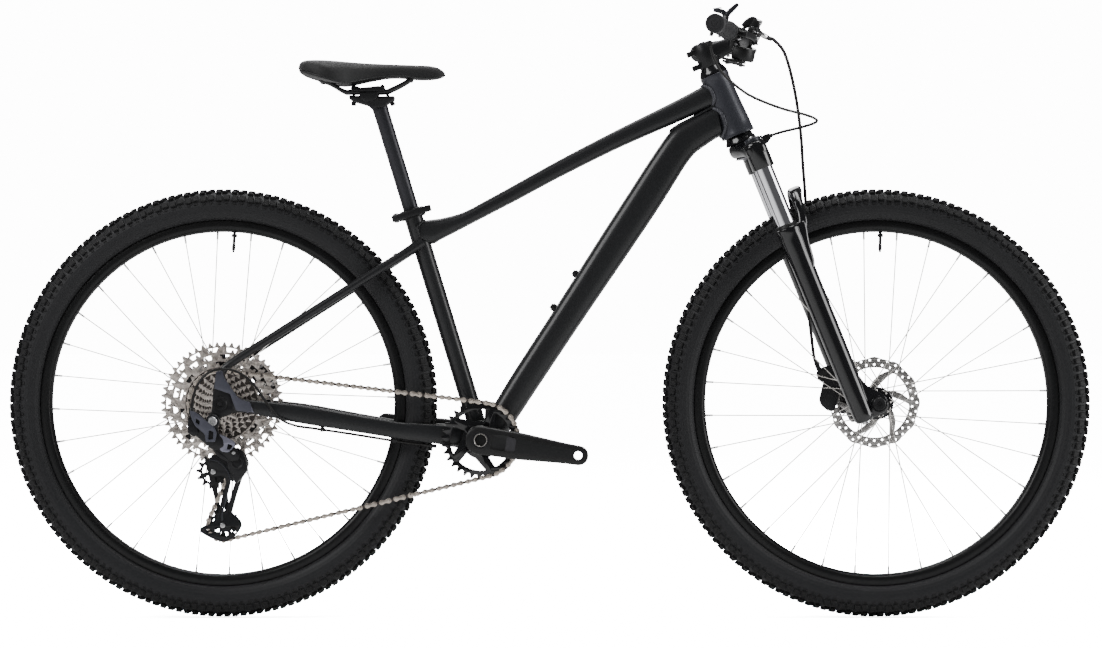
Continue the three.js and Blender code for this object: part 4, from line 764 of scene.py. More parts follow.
def caliper(axle_x, rotor_y, low, high, turn, radial):
    """Two halves astride the rotor, joined beyond its edge. turn is the direction from axle to caliper."""
    c, s = cos(radians(turn)), sin(radians(turn))
    middle = Vector((axle_x, 0, TYRE_R)) + Vector((c, 0, s)) * 78
    place = Matrix(((c, -s, 0, middle.x), (0, 0, 1, 0), (s, c, 0, middle.z), (0, 0, 0, 1)))
    body = rounded([(-12, -30), (2, -34), (12, -30), (17, -19), (17, 19), (10, 28), (-3, 34), (-13, 32),
                    (-15, 6)], 5)
    spine = rounded([(5.5, -22), (15, -19), (15.6, 0), (15, 19), (5.5, 24)], 2)
    parts = [plate(body, low, rotor_y - 2.3, place, bevel=1.6),
             plate(body, rotor_y + 2.3, high, place, bevel=1.6),
             plate(spine, rotor_y - 3, rotor_y + 3, place, bevel=0.4)]
    face = high if radial > 0 else low
    outward = place @ shift(0, 0, face)
    if radial < 0:
        outward = outward @ turned("X", 180)
    parts.append(lathe([(0, -1), (11.5, -1), (11.5, 0.6), (10.8, 1.3), (6, 1.3), (5.4, 0.4), (0, 0.4)],
                       outward @ shift(-1, 0, 0), 32))
    bolts = [bolt(outward @ shift(u, v, 0), 4.2, 3.4) for u, v in ((9, 19), (9, -20))]
    return joined(*parts), joined(*bolts)


front_halves, front_bolts = caliper(AXLE_X, FRONT_ROTOR_Y, 27, 46.1, 180 - 14, 1)
piece("front_caliper", front_halves, "lowers", SATIN, ["front_brake_caliper"])
piece("front_caliper_bolts", front_bolts, "lowers", BOLT)
rear_halves, rear_bolts = caliper(-AXLE_X, REAR_ROTOR_Y, 45, 66, 34, -1)
piece("rear_caliper", rear_halves, "frame", SATIN, ["rear_brake_caliper"])
piece("rear_caliper_bolts", rear_bolts, "frame", BOLT)

# ------------------------------------------------------------------ stem, bar, grips
headset_cap = lathe([(14.8, 57.2), (24, 57.2), (24.8, 58), (24.6, 60), (22.8, 64), (19.4, 70), (18.6, 71.4),
                     (14.8, 71.4)], STEER, 56)
stem_clamp = lathe([(14.8, 71.8), (18, 71.8), (18.6, 72.4), (18.6, 112.6), (17.8, 113.6), (14.8, 113.6)],
                   STEER, 56)
neck = []
for x, low, high, half in ((10, 76, 110, 15.5), (20, 77, 109.4, 15), (30, 78.5, 108.6, 14.6),
                           (40, 79.6, 107.6, 15), (47, 80.2, 107, 16.5), (54, 80, 106.6, 18.5)):
    neck.append(oval(STEER @ Vector((x, 0, (low + high) / 2)), STEER_TURN @ Vector((0, 0, (high - low) / 2)),
                     Vector((0, half, 0)), 3.4, 36))
BAR_EYE = STEER @ shift(BAR_AHEAD, 0, BAR_UP) @ along_y(0, 0)
eye = lathe([(16.2, -24), (19.8, -24), (20.6, -23), (20.6, 23), (19.8, 24), (16.2, 24)], BAR_EYE, 56)
ears = [plate(rounded([(-31, -9), (-14, -9), (-14, 9), (-31, 9)], 3), z, z + 9, STEER, bevel=1.2)
        for z in (74.5, 100.5)]
piece("stem_body", joined(stem_clamp, loft(neck), eye, *ears), COLUMN, SATIN, ["stem"], angle=46)
piece("headset_cover", headset_cap, COLUMN, GLOSS)
stem_bolts = []
for z in (79, 105):
    stem_bolts.append(placed(rod((-26, -11.5, z), (-26, -8.5, z), 4, 24, 0.5), STEER))
    stem_bolts.append(placed(rod((-26, 8.5, z), (-26, 10.5, z), 3.4, 24, 0.4), STEER))
for dz in (-16.8, 16.8):
    for y in (-15, 15):
        stem_bolts.append(placed(rod((BAR_AHEAD + 9, y, BAR_UP + dz), (BAR_AHEAD + 15.6, y, BAR_UP + dz), 4,
                                     24, 0.5), STEER))
stem_bolts.append(lathe([(0, 115), (3, 115), (3.4, 117), (5.4, 117), (6, 116), (6, 114), (0, 114)], STEER,
                        24))
piece("stem_bolts", joined(*stem_bolts), COLUMN, SATIN)
face = []
for y0, y1 in ((-24, -7), (7, 24)):
    half_ring = arc(BAR_AHEAD, BAR_UP, 16.3, -86, 86, 16) + arc(BAR_AHEAD, BAR_UP, 22.6, 86, -86, 16)
    face.append(plate(half_ring, y0, y1, STEER_PLANE, bevel=1.2))
top_cap = lathe([(0, 114.4), (5.6, 114.4), (6.6, 115.2), (16, 114.9), (17, 114), (17, 113), (0, 113)], STEER,
                48)
piece("stem_faceplate", joined(*face, top_cap), COLUMN, SATIN)

bar_line, bar_radii = [], []
for y, r in ((-358, 11.1), (-200, 11.1), (-110, 11.1), (-100, 11.1), (-95, 11.1), (-90, 11.1), (-78, 11.3),
             (-68, 12), (-56, 14), (-46, 15.6), (-40, 15.9), (0, 15.9)):
    bar_line.append(bar_point(y))
    bar_radii.append(r)
bar_line += [Vector((p.x, -p.y, p.z)) for p in bar_line[-2::-1]]
bar_radii += bar_radii[-2::-1]
piece("bar", tube(bar_line, bar_radii, 40), COLUMN, SATIN, ["handlebar"], angle=60)


def bar_axis(side):
    """Local z runs out along the bar from the bend."""
    run = bar_point(side * BAR_HALF) - bar_point(side * BAR_BEND)
    return Matrix.Translation(bar_point(side * BAR_BEND)) @ run.to_track_quat("Z", "Y").to_matrix().to_4x4()


BAR_STRETCH = (bar_point(BAR_HALF) - bar_point(BAR_BEND)).length / (BAR_HALF - BAR_BEND)


def h(y):
    """Height along the bar's axis of the point this far to the side."""
    return (y - BAR_BEND) * BAR_STRETCH


for name, s in (("grip_right", -1), ("grip_left", 1)):
    profile = [(11.6, h(232)), (15.8, h(232)), (16.3, h(233)), (16.3, h(237)), (15.6, h(238)),
               (14.3, h(238.6))]
    y = 240.5
    while y < 350:
        profile += [(14.2, h(y)), (15.1, h(y + 0.5)), (15.1, h(y + 2.3)), (14.2, h(y + 2.8))]
        y += 3.9
    profile += [(14.6, h(352.6)), (15.6, h(354)), (16.3, h(355)), (16.3, h(362.6)), (15.4, h(364.4)),
                (13.2, h(364.9)), (12.6, h(364.1)), (9.6, h(364.1)), (9, h(364.8)), (5.8, h(364.8)),
                (5.2, h(364.1)), (3.4, h(364.1)), (2.6, h(364.9)), (0, h(364.9)), (0, h(359)), (11.6, h(359))]
    piece(name + "_rubber", lathe(profile, bar_axis(s), 56), COLUMN, GRIP, [name])

# ------------------------------------------------------------------ hand controls, drawn for the right side
def control(y, side):
    place = bar_place(side * y)
    return place @ FLIP if side > 0 else place


def beam(points, halves, power=2.6, n=24):
    """A beam with rounded section along points; halves are (half height along z, half width)."""
    rings = []
    for i, (p, (up, wide)) in enumerate(zip(points, halves)):
        p = Vector(p)
        run = (Vector(points[min(i + 1, len(points) - 1)]) - Vector(points[max(i - 1, 0)])).normalized()
        across = run.cross(Vector((0, 0, 1))).normalized()
        rings.append(oval(p, across.cross(run).normalized() * up, across * wide, power, n))
    return loft(rings)


def smooth_beam(points, halves, steps=5, power=2.6, n=24):
    line = spline(points, steps)
    sizes = [(v.x, v.y) for v in spline([(a, b, 0) for a, b in halves], steps)]
    return beam(line, sizes, power, n)


BAR_LOCAL = along_y(0, 0)


def band(y0, y1, r):
    """A clamp band about the bar, in a control's own coordinates."""
    return lathe([(11.9, y0), (r - 0.8, y0), (r, y0 + 0.8), (r, y1 - 0.8), (r - 0.8, y1), (11.9, y1)],
                 BAR_LOCAL, 40)


for tag, side in (("right", -1), ("left", 1)):
    place = control(205, side)
    body = joined(band(-6, 6, 15),
                  smooth_beam([(11, 1, 0), (18, 1, 0), (26, 1, 0.5), (34, 1, 1)],
                              [(7, 6.5), (6.2, 6), (6.6, 7), (7.5, 8)]),
                  tube([(36, -9, 2), (36, -7, 2), (36, 20, 2), (36, 34, 2), (36, 40, 2)],
                       [7.4, 8.8, 9, 8.6, 7], 32),
                  smooth_beam([(36, -8, 9), (36, -4, 9.6), (36.5, 14, 9.8), (36.5, 30, 9.6), (36.5, 34.5, 9)],
                              [(4, 6), (5.2, 9), (5.2, 9.6), (5, 8.6), (3.8, 5)], power=3.4, n=32),
                  smooth_beam([(17, 8, 13), (23, 10, 20.5), (30, 11, 27), (37, 12, 25.5)],
                              [(5, 7), (7.2, 7.6), (6.6, 7), (5.2, 5.4)], power=3, n=28),
                  plate(rounded([(25, 6), (42, 6), (44, 20), (42, 28), (33, 30), (27, 24)], 4), 4, 18,
                        BAR_LOCAL, bevel=1.6),
                  smooth_beam([(40, -7, 3), (45, -15, 4.3), (46, -22, 4.4), (46, -30, 4.3)],
                              [(4, 5), (1.9, 7), (1.7, 6.6), (1.6, 4)], power=3),
                  smooth_beam([(34, 25, 8), (38, 28, 9), (42, 31, 8.6), (45, 33, 7.6)],
                              [(5, 5.6), (5.6, 5.6), (5.4, 5.2), (4.4, 4.4)], power=2.4),
                  smooth_beam([(40, -7, -6), (45, -15, -12), (46, -22, -12.4), (46, -30, -12.3)],
                              [(6, 5), (1.9, 7), (1.7, 6.6), (1.6, 4)], power=3),
                  smooth_beam([(40, -6, -14), (41, -8.5, -6), (41, -8.5, 4), (40, -6, 8)],
                              [(4, 5), (4.5, 5), (4.5, 5), (4, 5)], power=3))
    piece(f"brake_body_{tag}", placed(body, place), COLUMN, PLASTIC, [f"brake_master_{tag}"],
          angle=50)
    cap = plate(rounded([(29.5, -5), (43.5, -5), (43.5, 31), (29.5, 31)], 5), 14.2, 16, HERE, bevel=0.5)
    trim = joined(cap, band(-2.6, 2.6, 15.3),
                  tube([(36, 39.6, 2), (36, 42, 2), (36, 43, 2), (36, 51, 2), (36, 52, 2)],
                       [5.6, 5.6, 4.6, 4.4, 3.6], 24))
    piece(f"brake_cap_{tag}", placed(trim, place), COLUMN, GLOSS)
    metal = joined(
        rod((46, -22, -15), (46, -22, 6.8), 2.4, 24),
        placed(bolt(HERE, 3.6, 1.6), shift(46, -22, 6)),
        placed(bolt(HERE, 1.8, 0.7), shift(33, 0, 16)),
        placed(bolt(HERE, 1.8, 0.7), shift(40, 26, 16)),
        rod((14, -3, -9.5), (19, -3, -7.4), 2.8, 20, 0.4),
    )
    piece(f"brake_pins_{tag}", placed(metal, place), COLUMN, BOLT)
    blade = smooth_beam([(45, -15.8, -4), (45.8, -22, -4), (46, -30, -4), (49, -52, -4), (50.6, -76, -4),
                         (50, -98, -4), (47.4, -116, -4), (45.8, -125, -4), (46.6, -128.4, -4)],
                        [(5.8, 5.2), (5.9, 5.9), (5.6, 5.2), (5.2, 3.9), (5.2, 3.7), (5.2, 3.7), (5.4, 3.6),
                         (5.6, 3.4), (4.2, 1.8)], steps=6, power=3)
    bore = shift(46, -22, 0)
    lever_eye = lathe([(2.7, -10), (5.6, -10), (6.2, -9.4), (6.2, 1.4), (5.6, 2), (2.7, 2)], bore, 28)
    piece(f"lever_{tag}_blade", placed(joined(blade, lever_eye), place), f"lever_{tag}", SATIN,
          [f"brake_lever_{tag}"], angle=55)
    screw = tube([(54.4, -31, -4), (49, -31.6, -4)], 2.6, 24)
    piece(f"lever_{tag}_screw", placed(screw, place), f"lever_{tag}", SILVER)
    barrels = joined(tube([(31, 11, 27.4), (33, 11, 27.0), (44.6, 11, 24.8), (46, 11, 24.5)],
                          [3.8, 5, 5, 4.2], 28),
                     tube([(43, 31.6, 8), (44.4, 32.6, 7.6), (52.6, 38.3, 5.2), (54, 39.3, 4.8)],
                          [3.6, 4.6, 4.6, 3.8], 28))
    piece(f"brake_{tag}_barrels", placed(barrels, place), COLUMN, SILVER)

REMOTE_AT = control(205, -1)
remote = joined(band(-23, -4, 14.2),
                smooth_beam([(-8, -15, 2), (-14, -15, 2), (-22, -15, 2), (-27, -15, 2)],
                            [(9, 6), (10, 6), (9.4, 6), (6, 4.5)], power=3.2),
                *(plate(rounded([(-17, 8), (-7, 8), (-7.6, 22), (-9.5, 26), (-14.5, 26), (-16.4, 22)], 3), y,
                        y + 2.6, BAR_LOCAL, bevel=0.5) for y in (-20.9, -11.7)),
                tube([(-27, -15, 8), (-28.6, -15, 1), (-29.6, -15, -8), (-30.2, -15, -14)],
                     [4.2, 3.9, 3.6, 2.8], 20))
piece("remote_body", placed(remote, REMOTE_AT), COLUMN, PLASTIC, angle=50)
remote_pins = joined(rod((-12, -21.6, 22), (-12, -8.4, 22), 2.4, 20),
                     rod((-16, -13, -9.5), (-16, -13, -13.5), 2.6, 20, 0.4))
piece("remote_pins", placed(remote_pins, REMOTE_AT), COLUMN, BOLT)
paddles = joined(
    sleeve(2.7, 5.6, -17.8, -12.2, shift(-12, 0, 22) @ BAR_LOCAL, 28),
    plate(rounded([(-13, 25), (-8, 22), (-6, 27), (1, 37.6), (6.4, 46.5), (2.4, 50), (-5, 42), (-12, 33)], 4),
          -19.5, -10.5, BAR_LOCAL, bevel=1.4),
    plate(rounded([(-15, 20), (-10, 27), (-13, 33), (-24, 35), (-35, 30.6), (-34.6, 27), (-20, 26)], 3),
          -18, -12, BAR_LOCAL, bevel=1.2),
)
piece("remote_paddles", placed(paddles, REMOTE_AT), "lockout_paddles", MECH, ["lockout_lever"])
# The pad on the rear paddle faces up and back; its light grey-blue is painted highlight where it catches the
# light.
pad = plate(rounded([(-35.6, 31), (-24, 35.6), (-21, 35.4), (-23, 37.2), (-36.4, 32.4)], 1), -19, -11,
            BAR_LOCAL, bevel=0.4)
piece("remote_pad", placed(pad, REMOTE_AT), "lockout_paddles", PAD_HIGHLIGHT)

SHIFTER_AT = control(165, -1)
pod = []
for z, grow in ((-20.4, -2.4), (-21, -0.6), (-23, 0), (-30, 0.2), (-38, 0), (-40.6, -1.2), (-41.8, -4)):
    outline = rounded([(3, -19), (14, -22.5), (29, -23), (39, -12), (39, 13), (29, 23), (14, 22.5), (3, 19)],
                      7, 5)
    scale = 1 + grow / 20
    pod.append([Vector((20 + (u - 20) * scale, v * scale, z)) for u, v in outline])
shifter = joined(band(-5, 5, 14.6), loft(pod),
                 plate(rounded([(-5, -26), (12, -26), (14, -20), (8, -11), (-6, -11)], 2), -4.6, 4.6,
                       BAR_LOCAL, bevel=0.8),
                 tube([(24, 20, -31), (25, 24, -31), (26, 31, -31)], [5, 4.4, 3.4], 20))
piece("shifter_pod", placed(shifter, SHIFTER_AT), COLUMN, PLASTIC, ["shifter_body"], angle=50)
pins = joined(rod((20, 0, -53), (20, 0, -41), 2.9, 24, 0.4), rod((6, -6.4, -17), (6, 6.4, -17), 2.6, 20, 0.3))
piece("shifter_pins", placed(pins, SHIFTER_AT), COLUMN, BOLT)
window = plate(rounded([(12, -15), (26, -17), (32, -8), (32, 9), (26, 17), (12, 15)], 5), -20.9, -19.4,
               HERE, bevel=0.4)
piece("shifter_cover", placed(window, SHIFTER_AT), COLUMN, GLOSS)


def thumb(tip, z0, z1):
    u, v = tip
    outline = rounded([(13.6, -5), (13.6, 6), (27, 6.6), (27.6, -6), (u + 8, v - 2), (u + 2, v - 8),
                       (u - 7, v - 7), (u - 9, v + 5), (u - 4, v + 9)], 4)
    lever = plate(outline, z0 + 0.2, z1 - 0.2, HERE, [hole(20, 0, 3.3)], 0.8)
    ribs = [rod((u - 6 + k * 2.6, v - 5.6, z0 + 0.4), (u - 7 + k * 2.6, v + 3, z0 + 0.4), 0.6, 6)
            for k in range(5)]
    return placed(joined(lever, *ribs), SHIFTER_AT)


piece("thumb_main", thumb((-14, -30), -46.5, -42.4), "shift_main", PLASTIC, ["shift_lever_main"])
piece("thumb_release", thumb((2, -36), -51.5, -47.2), "shift_release", PLASTIC, ["shift_lever_release"])

# ------------------------------------------------------------------ wheels
CASING, CASING_RING = 28.3, 339     # radius of the tyre's round section, and of the circle that it follows
KNOB_PITCHES = 82


def casing(phi, lift, theta):
    """A point on the tyre: phi round its section from the crown, theta round the wheel."""
    r = CASING_RING + (CASING + lift) * cos(radians(phi))
    return Vector((r * cos(theta), (CASING + lift) * sin(radians(phi)), r * sin(theta)))


def knob(phi0, phi1, t0, t1, height, skew=0.0):
    """A tread block with a chamfered top; t0 and t1 are shares of one pitch."""
    rings = []
    for lift, inset in ((-0.5, -0.06), (height - 0.7, 0.0), (height, 0.09)):
        a, b = phi0 + (phi1 - phi0) * inset, phi1 - (phi1 - phi0) * inset
        c, d = t0 + (t1 - t0) * inset, t1 - (t1 - t0) * inset
        rings.append([casing(p, lift, (t + s) * TAU / KNOB_PITCHES)
                      for p, t, s in ((a, c, 0), (b, c, skew), (b, d, skew), (a, d, 0))])
    return loft(rings)


def tyre():
    half = [(311.4, 13.1), (317.4, 13.1), (318.4, 14.6), (320.4, 18.6)]
    for k in range(56):
        phi = 128 - 128 * k / 55
        ridge = 0.35 if phi > 78 and k % 5 == 0 else 0.0
        p = casing(phi, ridge, 0)
        half.append((p.x, p.y))
    inner = [(364.4, 0), (361, 12), (350, 22), (339, 24.6), (327, 21), (318.6, 11), (311.4, 10.6)]
    profile = half + [(r, -y) for r, y in half[-2::-1]] + [(r, -y) for r, y in inner[::-1]] + inner[1:]
    carcass = lathe(profile, SIDE_PLANE, 164)
    blocks = []
    for i in range(KNOB_PITCHES):
        row = []
        for s in (-1, 1):
            row += [
                knob(s * 1.2, s * 11, 0.04, 0.36, 4.9),
                knob(s * 4.2, s * 12.6, 0.54, 0.86, 4.9, 0.06),
                knob(s * 18, s * 29, 0.20, 0.46, 4.7, 0.08),
                knob(s * 21, s * 33, 0.68, 0.96, 4.7, -0.06),
                knob(s * 44, s * 63, 0.06, 0.42, 4.3),
                knob(s * 47, s * 66.5, 0.54, 0.88, 4.3),
                knob(s * 69, s * 76, 0.14, 0.34, 1.2),
                knob(s * 70.5, s * 78, 0.62, 0.80, 1.2),
            ]
        turn = turned("Y", -360 * i / KNOB_PITCHES)
        blocks += [placed(k, turn) for k in row]
    return carcass, joined(*blocks)


def rim():
    half = [(301.6, 5.4), (302, 9.4), (304.6, 13), (316.3, 13.2), (317, 13.7), (317, 14.6), (316.4, 15),
            (308, 15), (303.6, 14.7), (300.4, 11.6), (298.2, 8), (297.4, 5)]
    profile = half + [(r, -y) for r, y in half[::-1]]
    return lathe(profile, SIDE_PLANE, 192)


def wheel(tag, x, phase, flanges):
    centre = shift(x, 0, TYRE_R)
    body = f"{tag}_wheel"
    carcass, blocks = tyre()
    piece(f"tyre_{tag}_casing", placed(carcass, centre), body, SIDEWALL, [f"tyre_{tag}"], angle=60)
    piece(f"tyre_{tag}_tread", placed(blocks, centre), body, TREAD, angle=20)
    piece(f"rim_{tag}_hoop", placed(rim(), centre), body, RIM, [f"rim_{tag}"], angle=50)
    spokes, nipples = [], []
    swing = acos(0.4)
    for i in range(SPOKES):
        rim_angle = phase + TAU * i / SPOKES
        side, lean = i % 2, (1 if i % 4 < 2 else -1)
        hub_angle = rim_angle + lean * swing
        fy = flanges[side]
        out = (1 if i % 4 in (0, 3) else -1) * copysign(1, fy)
        foot = Vector((SPOKE_PCR * cos(hub_angle), fy, SPOKE_PCR * sin(hub_angle)))
        tip_way = Vector((cos(rim_angle), 0, sin(rim_angle)))
        tip = tip_way * 296 + Vector((0, copysign(2.5, fy), 0))
        start = foot + Vector((0, out * 2.0, 0))
        run = (tip - start).normalized()
        spokes.append(tube([foot + Vector((0, -out * 2.6, 0)), foot,
                            foot + Vector((0, out * 1.2, 0)) + run * 0.3, start + run * 2.2, start + run * 5,
                            tip], [1.05, 1.05, 1.05, 1.05, 0.95, 0.95], 8))
        spokes.append(tube([foot + Vector((0, -out * 2.2, 0)), foot + Vector((0, -out * 3.1, 0))], [1.9, 1.3],
                           10))
        nipples.append(tube([tip - run * 11, tip - run * 10.4, tip - run * 3, tip + run * 1, tip + run * 5],
                            [1.5, 1.75, 1.75, 2.0, 2.4], 8))
    piece(f"spokes_{tag}_wires", placed(joined(*spokes), centre), body, STEEL, [f"spokes_{tag}"], angle=60)
    piece(f"nipples_{tag}", placed(joined(*nipples), centre), body, SILVER, angle=60)
    angle = phase + TAU * 7.5 / SPOKES
    stem = shift(x, 0, TYRE_R) @ turned("Y", -degrees(angle)) @ turned("Y", 90)
    valve = lathe([(0, 262.4), (1.6, 262.4), (2, 263.4), (2, 266), (3, 266.4), (3.2, 274), (2.6, 275),
                   (2.6, 289), (4.6, 289), (4.9, 290), (4.9, 293.4), (4.4, 294.4), (2.8, 294.4), (2.8, 300),
                   (0, 300)], stem, 20)
    piece(f"valve_{tag}", valve, body, SATIN)


wheel("front", AXLE_X, radians(4.15), (-33, 25))
wheel("rear", -AXLE_X, radians(1.95), (-23, 36))


def flange(y, r=27.8):
    return [(13.2, y - 4), (17.6, y - 1.7), (r - 0.8, y - 1.6), (r, y - 0.9), (r, y + 0.9),
            (r - 0.8, y + 1.6), (17.6, y + 1.7), (13.2, y + 4)]


def hub(outline, bore, x):
    low, high = outline[0][1], outline[-1][1]
    return lathe([(bore, low), *outline, (bore, high)], along_y(x, TYRE_R), 56)


front_hub = hub([(9.4, -54.7), (10, -54), (10.4, -49), (12.6, -44), (13.4, -40), *flange(-33), (12.4, -22),
                 (11.9, -4), (12.4, 14), *flange(25), (14, 30), (20.6, 31), (21, 32), (21, 36.2),
                 (20.4, 36.8), (12.8, 36.8), (12.4, 42), (10.2, 47), (10, 54), (9.4, 54.7)], 7.75, AXLE_X)
rear_hub = hub([(15, -28.5), (15.6, -27.8), *flange(-23), (14.6, -12), (14, 6), (14.6, 24), *flange(36),
                (15, 44), (20.6, 48), (21, 49), (21, 55.2), (20.4, 55.8), (12.8, 55.8), (12.2, 61), (9.7, 66),
                (9.5, 73), (9, 73.7)], 6.25, -AXLE_X)
piece("hub_front_shell", front_hub, "front_wheel", GLOSS, ["hub_front"])
piece("hub_rear_shell", rear_hub, "rear_wheel", GLOSS, ["hub_rear"])


def rotor(x, y):
    place = along_y(x, TYRE_R)
    outline = []
    for t in around(288):
        wave = max(0.0, cos(12 * t)) ** 0.6
        outline.append(polar(ROTOR_R - 2.4 * (1 - wave), t))
    windows = []
    for i in range(6):
        t = 360 * i / 6
        out = arc(0, 0, 61.4, t + 5, t + 54, 12)
        back = [polar(r, radians(t + a))
                for r, a in ((60, 57.6), (50, 63), (40, 69.5), (32, 77), (28.4, 76.5), (28, 66), (28.4, 51),
                             (31, 42), (39, 32), (49, 20), (58, 9))]
        windows.append(out + back)
    for i in range(30):
        t = radians(12 * i)
        windows += [hole(*polar(74.6, t), 2.0, 12), hole(*polar(66.6, t + 0.105), 2.0, 12)]
    windows.append(hole(0, 0, 13.4, 32))
    return plate(outline, y - 0.9, y + 0.9, place, windows, 0.15)


for tag, x, y, face in (("front", AXLE_X, FRONT_ROTOR_Y, 38.9), ("rear", -AXLE_X, REAR_ROTOR_Y, 57.9)):
    piece(f"rotor_{tag}_disc", rotor(x, y), f"{tag}_wheel", ROTOR, [f"rotor_{tag}"], angle=30)
    heads = [bolt(along_y(*polar(19, t, x, TYRE_R)) @ shift(0, 0, face - 0.1), 3.4, 2.2) for t in around(6)]
    piece(f"rotor_{tag}_bolts", joined(*heads), f"{tag}_wheel", BOLT)

# ------------------------------------------------------------------ chain line
def pitch_radius(teeth):
    return PITCH / (2 * sin(pi / teeth))


STOPS = [((BB_X, BB_Z), RING_TEETH, 1), ((-AXLE_X, TYRE_R), COG_IN_USE, 1), (GUIDE, PULLEY_TEETH, -1),
         (TENSION, PULLEY_TEETH, 1)]


def chain_loop():
    """The chain's centre line as (x, z) points, and the indices where it meets and leaves each wheel."""
    ends = [{} for _ in STOPS]
    for i, (a, ta, sa) in enumerate(STOPS):
        b, tb, sb = STOPS[(i + 1) % 4]
        dx, dz = b[0] - a[0], b[1] - a[1]
        turn = acos((sa * pitch_radius(ta) - sb * pitch_radius(tb)) / hypot(dx, dz))
        normal = atan2(dz, dx) - turn
        ends[i]["leave"] = normal if sa > 0 else normal + pi
        ends[(i + 1) % 4]["meet"] = normal if sb > 0 else normal + pi
    points, marks = [], []
    for (c, teeth, spin), end in zip(STOPS, ends):
        a0, a1 = end["meet"], end["leave"]
        while spin > 0 and a1 < a0:
            a1 += TAU
        while spin < 0 and a1 > a0:
            a1 -= TAU
        marks.append(len(points))
        points += arc(*c, pitch_radius(teeth), degrees(a0), degrees(a1), 60)
        marks.append(len(points) - 1)
    return points, marks


LOOP, MARKS = chain_loop()
LENGTHS = [0.0]
for p, q in zip(LOOP, LOOP[1:] + LOOP[:1]):
    LENGTHS.append(LENGTHS[-1] + dist(p, q))
LINKS = 2 * round(LENGTHS[-1] / PITCH / 2)
STEP = LENGTHS[-1] / LINKS


def on_loop(s):
    s %= LENGTHS[-1]
    i = next(k for k in range(len(LOOP)) if LENGTHS[k + 1] >= s)
    t = (s - LENGTHS[i]) / (LENGTHS[i + 1] - LENGTHS[i])
    p, q = LOOP[i], LOOP[(i + 1) % len(LOOP)]
    x, z = p[0] + (q[0] - p[0]) * t, p[1] + (q[1] - p[1]) * t
    slant = min(1, max(0, (x + 510) / 325))
    return Vector((x, CHAIN_Y + slant * (RING_Y - CHAIN_Y), z))


PINS = [on_loop(k * STEP) for k in range(LINKS)]


def tooth_phase(stop):
    """The angle of a chain pin that lies on a wheel, so that its tooth gaps meet the pins."""
    (cx, cz), teeth, spin = STOPS[stop]
    middle = (LENGTHS[MARKS[2 * stop]] + LENGTHS[MARKS[2 * stop + 1]]) / 2
    pin = PINS[round(middle / STEP) % LINKS]
    return atan2(pin.z - cz, pin.x - cx)


def figure_eight(a, b, y, thick, r, waist):
    """A chain plate from pin a to pin b, in the plane y away from the chain's middle."""
    run = b - a
    run.y = 0
    length = run.length
    along = run.normalized()
    across = Vector((-along.z, 0, along.x))
    outline = arc(0, 0, r, 55, 305, 10) + [(length / 2, -waist)] + arc(length, 0, r, -125, 125, 10)
    outline += [(length / 2, waist)]
    base = Vector((0, (a.y + b.y) / 2 + y, 0))
    rings = []
    for level, grow in ((-thick / 2, 0.86), (-thick / 2 + 0.2, 1), (thick / 2 - 0.2, 1), (thick / 2, 0.86)):
        shrink = 1 - (1 - grow) * 0.25
        ring = []
        for u, v in outline:
            reach = along * (length / 2 + (u - length / 2) * shrink)
            ring.append(Vector((a.x, 0, a.z)) + base + reach + across * (v * grow) + Vector((0, level, 0)))
        rings.append(ring)
    return loft(rings)


def chain_part(name, first, last, body, replaces=()):
    """Bright outer plates and pins over dark inner plates and rollers."""
    bright, dark = [], []
    for k in range(first, last):
        a, b = PINS[k % LINKS], PINS[(k + 1) % LINKS]
        if k % 2:
            bright += [figure_eight(a, b, s * 2.3, 0.9, 4.5, 2.5) for s in (-1, 1)]
        else:
            dark += [figure_eight(a, b, s * 1.35, 0.7, 4.0, 2.3) for s in (-1, 1)]
        bright.append(rod(a + Vector((0, -3.1, 0)), a + Vector((0, 3.1, 0)), 1.8, 12, 0.25))
        dark.append(rod(a + Vector((0, -1, 0)), a + Vector((0, 1, 0)), 3.6, 14))
    return (piece(name, joined(*bright), body, CHAIN, replaces, angle=50),
            piece(name + "_inner", joined(*dark), body, CHAIN_DARK_AND_COG_SHADE, angle=50))


CASSETTE_END = round(LENGTHS[MARKS[3]] / STEP)
TENSION_MIDDLE = round((LENGTHS[MARKS[6]] + LENGTHS[MARKS[7]]) / 2 / STEP)
chain_part("chain_drive", 0, CASSETTE_END, "frame", ["chain"])
for run in chain_part("chain_guide", CASSETTE_END, TENSION_MIDDLE, None):
    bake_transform(run)
for run in chain_part("chain_return", TENSION_MIDDLE, LINKS, None):
    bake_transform(run)


def sprocket(centre, teeth, y0, y1, place_turn, holes=(), tip=3.5, bevel=0.3, narrow=0.30):
    """Rounded gaps where the rollers lie, with tapering teeth between."""
    r = pitch_radius(teeth)
    outline = []
    for i in range(teeth):
        t = place_turn + TAU * i / teeth
        half = pi / teeth
        for da, dr in ((-0.34, -3.2), (-0.12, -3.75), (0.12, -3.75), (0.34, -3.2), (0.62, 0.4),
                       (1 - narrow * 0.55, tip), (1 + narrow * 0.55, tip), (1.38, 0.4)):
            outline.append(polar(r + dr, t + half * da))
    return plate(outline, y0, y1, along_y(*centre), holes, bevel)


def fan(r0, r1, count, share, start=0.0):
    """Windows between two radii, count of them round a wheel, each filling a share of its sector."""
    out = []
    for i in range(count):
        a = start + 360 * i / count
        w = 180 * share / count
        narrow = w * 0.86
        out.append(rounded(arc(0, 0, r1, a - w, a + w, 8) + arc(0, 0, r0, a + narrow, a - narrow, 6), 2, 2))
    return out


